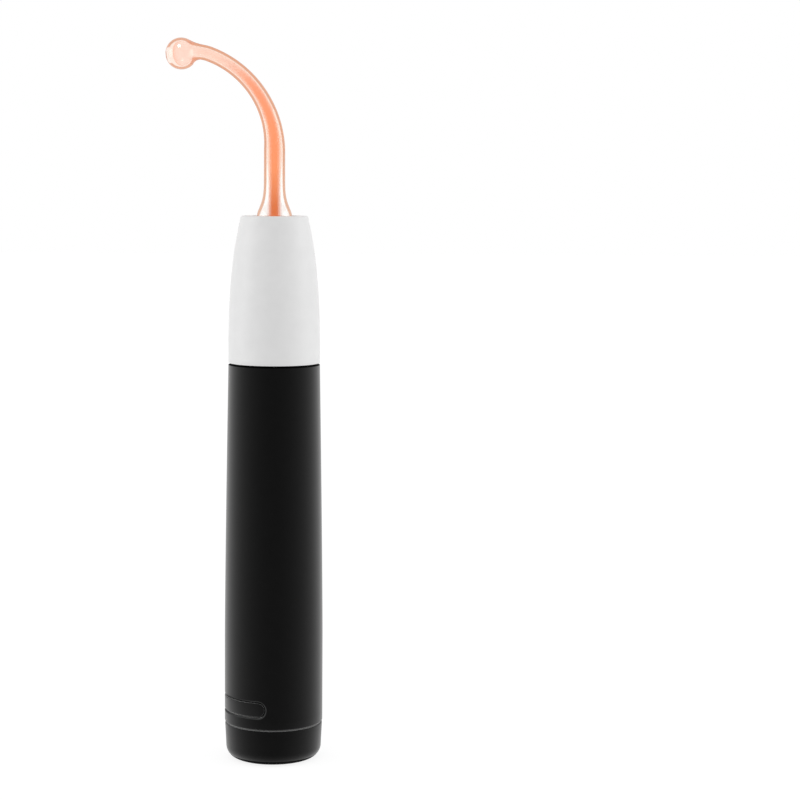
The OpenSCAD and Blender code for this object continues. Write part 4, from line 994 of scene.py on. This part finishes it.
def dialProfile():
    top, inside, bowl, hub = dial["height"], dial["rim"] - dial["wall"], dial["bowl"], dial["hub"]
    edge = arc(dial["low"] - dial["round"], dial["round"], dial["round"], -90, 0, 16)
    rim = [(dial["rim"] - 0.01, top - 0.55), (dial["rim"] - 0.07, top - 0.2), (dial["rim"] - 0.25, top),
           (inside, top)]
    hollow = arc(inside - bowl, dial["floor"] + bowl, bowl, 0, -90, 6)
    shaft = [(hub, dial["floor"]), (hub, dial["hubTop"]), (dial["shaft"], dial["hubTop"]),
             (dial["shaft"], dial["shaftBottom"]), (0, dial["shaftBottom"])]
    return [(0.001, 0.0), (dial["rest"], 0.0)] + edge + rim + hollow + shaft


def block(start, end, width, low, high):
    # box along X, between two lengths and two heights
    bpy.ops.mesh.primitive_cube_add(size=1, location=((start + end) / 2 * mm, 0, (low + high) / 2 * mm),
                                    scale=((end - start) * mm, width * mm, (high - low) * mm))
    bpy.ops.object.transform_apply(location=True, scale=True)
    return bpy.context.object


cup = turned("dialCup", dialProfile())
settle(cup)
ribs = []
for i in range(dial["ribs"]):
    rib = block(dial["hub"] - dial["sunk"], dial["ribEnd"], dial["ribWidth"], dial["floor"] - dial["sunk"],
                dial["ribTop"])
    applied(rib, "BEVEL", width=dial["ribSoft"] * mm, segments=2)
    rib.rotation_euler = (0, 0, 2 * pi * i / dial["ribs"])
    bpy.ops.object.transform_apply(rotation=True)
    ribs.append(rib)
cutBy(cup, joinPieces(*ribs), "UNION")
flat = block(dial["flat"], dial["flatOut"], dial["flatWidth"], dial["flatBottom"], dial["hubTop"])
cutBy(cup, flat, "UNION")
settle(cup, 30)
dress(cup, softTouch, "dial", "dial_soft_touch", "dial")
# painted shade: the dial's foot turns dead black; the inside stays unpainted
refinish(cup, bareAbsAndPaintedShade, lambda at, out: at.z < dial["foot"] or at.xy.length < dial["bareInside"])
print("dial made")


# Soft and wound pieces inside

inside = {
    "sides": 72, "wire": 0.5, "primaryDepth": 1.6, "fineWire": 0.3, "secondaryDepth": 3, "chambers": 4,
    "fin": 1, "springWire": 0.225, "springTurns": 5, "springSteps": 160,
    "bushBore": 5.45, "bushGroove": 0.6, "bushLips": 3,
}


def boxOf(node):
    # how far out a round node reaches from the axis, and its lowest and highest point
    low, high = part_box(node)
    return high[0] / mm, low[2] / mm, high[2] / mm


def woundRing(name, inner, outer, low, high, wire):
    # turns of wire laid side by side: the outside of the winding is a row of rounds
    count = max(2, round((high - low) / wire))
    pitch = (high - low) / count
    outline = [(inner, low)]
    for i in range(count):
        outline += arc(outer - pitch / 2, low + (i + 0.5) * pitch, pitch / 2, -78, 78, 5)
    return turned(name, outline + [(inner, high), (inner, low)], inside["sides"])


outer, low, high = boxOf("primary_winding")
primary = woundRing("primaryWinding", outer - inside["primaryDepth"], outer, low, high, inside["wire"])
settle(primary, 50)
dress(primary, finishes["primary_winding"], "handle", "magnet_wire", "primary_winding")

outer, low, high = boxOf("secondary_winding")
inner, fin = outer - inside["secondaryDepth"], inside["fin"]
chamber = (high - low + fin) / inside["chambers"]
rings = [woundRing("secondaryWinding", inner, outer, low + i * chamber, low + (i + 1) * chamber - fin,
                   inside["fineWire"]) for i in range(inside["chambers"])]
for ring in rings:
    settle(ring, 50)
dress(joinPieces(*rings), finishes["secondary_winding"], "handle", "magnet_wire_fine", "secondary_winding")

outer, low, high = boxOf("contact_spring")
thick = inside["springWire"]
bpy.ops.mesh.primitive_circle_add(vertices=12, radius=thick * mm, rotation=(pi / 2, 0, 0),
                                  location=((outer - thick) * mm, 0, (low + thick) * mm))
spring = bpy.context.object
spring.name = "contactSpring"
bpy.ops.object.transform_apply(location=True, rotation=True)
applied(spring, "SCREW", axis="Z", angle=2 * pi * inside["springTurns"], steps=inside["springSteps"],
        render_steps=inside["springSteps"], screw_offset=(high - low - 2 * thick) * mm)
inEdit(spring)
bpy.ops.mesh.fill_holes(sides=0)
outOfEdit()
settle(spring, 50)
dress(spring, finishes["contact_spring"], "handle", "spring_steel", "contact_spring")
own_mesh(spring)

outer, low, high = boxOf("grip_bush")
pitch, bore, groove = (high - low) / inside["bushLips"], inside["bushBore"], inside["bushGroove"]
# half of the wave between two lips: share of their distance, and how deep
half = [(0.14, 0), (0.22, 0.08), (0.29, groove * 0.6), (0.42, groove)]
wave = half + [(1 - up, deep) for up, deep in reversed(half)]
lips = []
for i in range(inside["bushLips"]):
    start = low + i * pitch
    lips.append((bore, start) if i else (bore + 0.15, start + 0.15))
    lips += [(bore + deep, start + pitch * up) for up, deep in wave]
outline = [(bore + 0.4, low), (outer - 0.3, low), (outer, low + 0.3), (outer, high - 0.3),
           (outer - 0.3, high), (bore + 0.4, high), (bore, high - 0.3)] + lips[::-1] + [(bore + 0.4, low)]
bush = turned("gripBush", outline, 96)
settle(bush, 45)
dress(bush, finishes["grip_bush"], "grip_bush", "bush_silicone", "grip_bush")

outer, low, high = boxOf("cell_pad")
padLow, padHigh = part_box("cell_pad")
padY = (padLow[1] + padHigh[1]) / 2
crown = [(0.001, low + 0.08), (outer * 0.6, low + 0.02), (outer - 0.35, low), (outer - 0.08, low + 0.2),
         (outer, (low + high) / 2), (outer - 0.08, high - 0.2), (outer - 0.35, high),
         (outer * 0.6, high - 0.02), (0, high - 0.08)]
foam = turned("cellPad", crown, 96)
inEdit(foam)
bpy.ops.transform.translate(value=(0, padY, 0))
outOfEdit()
settle(foam, 60)
dress(foam, finishes["cell_pad"], "handle", "foam", "cell_pad")
print("inside pieces made")


# The end

bpy.context.view_layer.update()
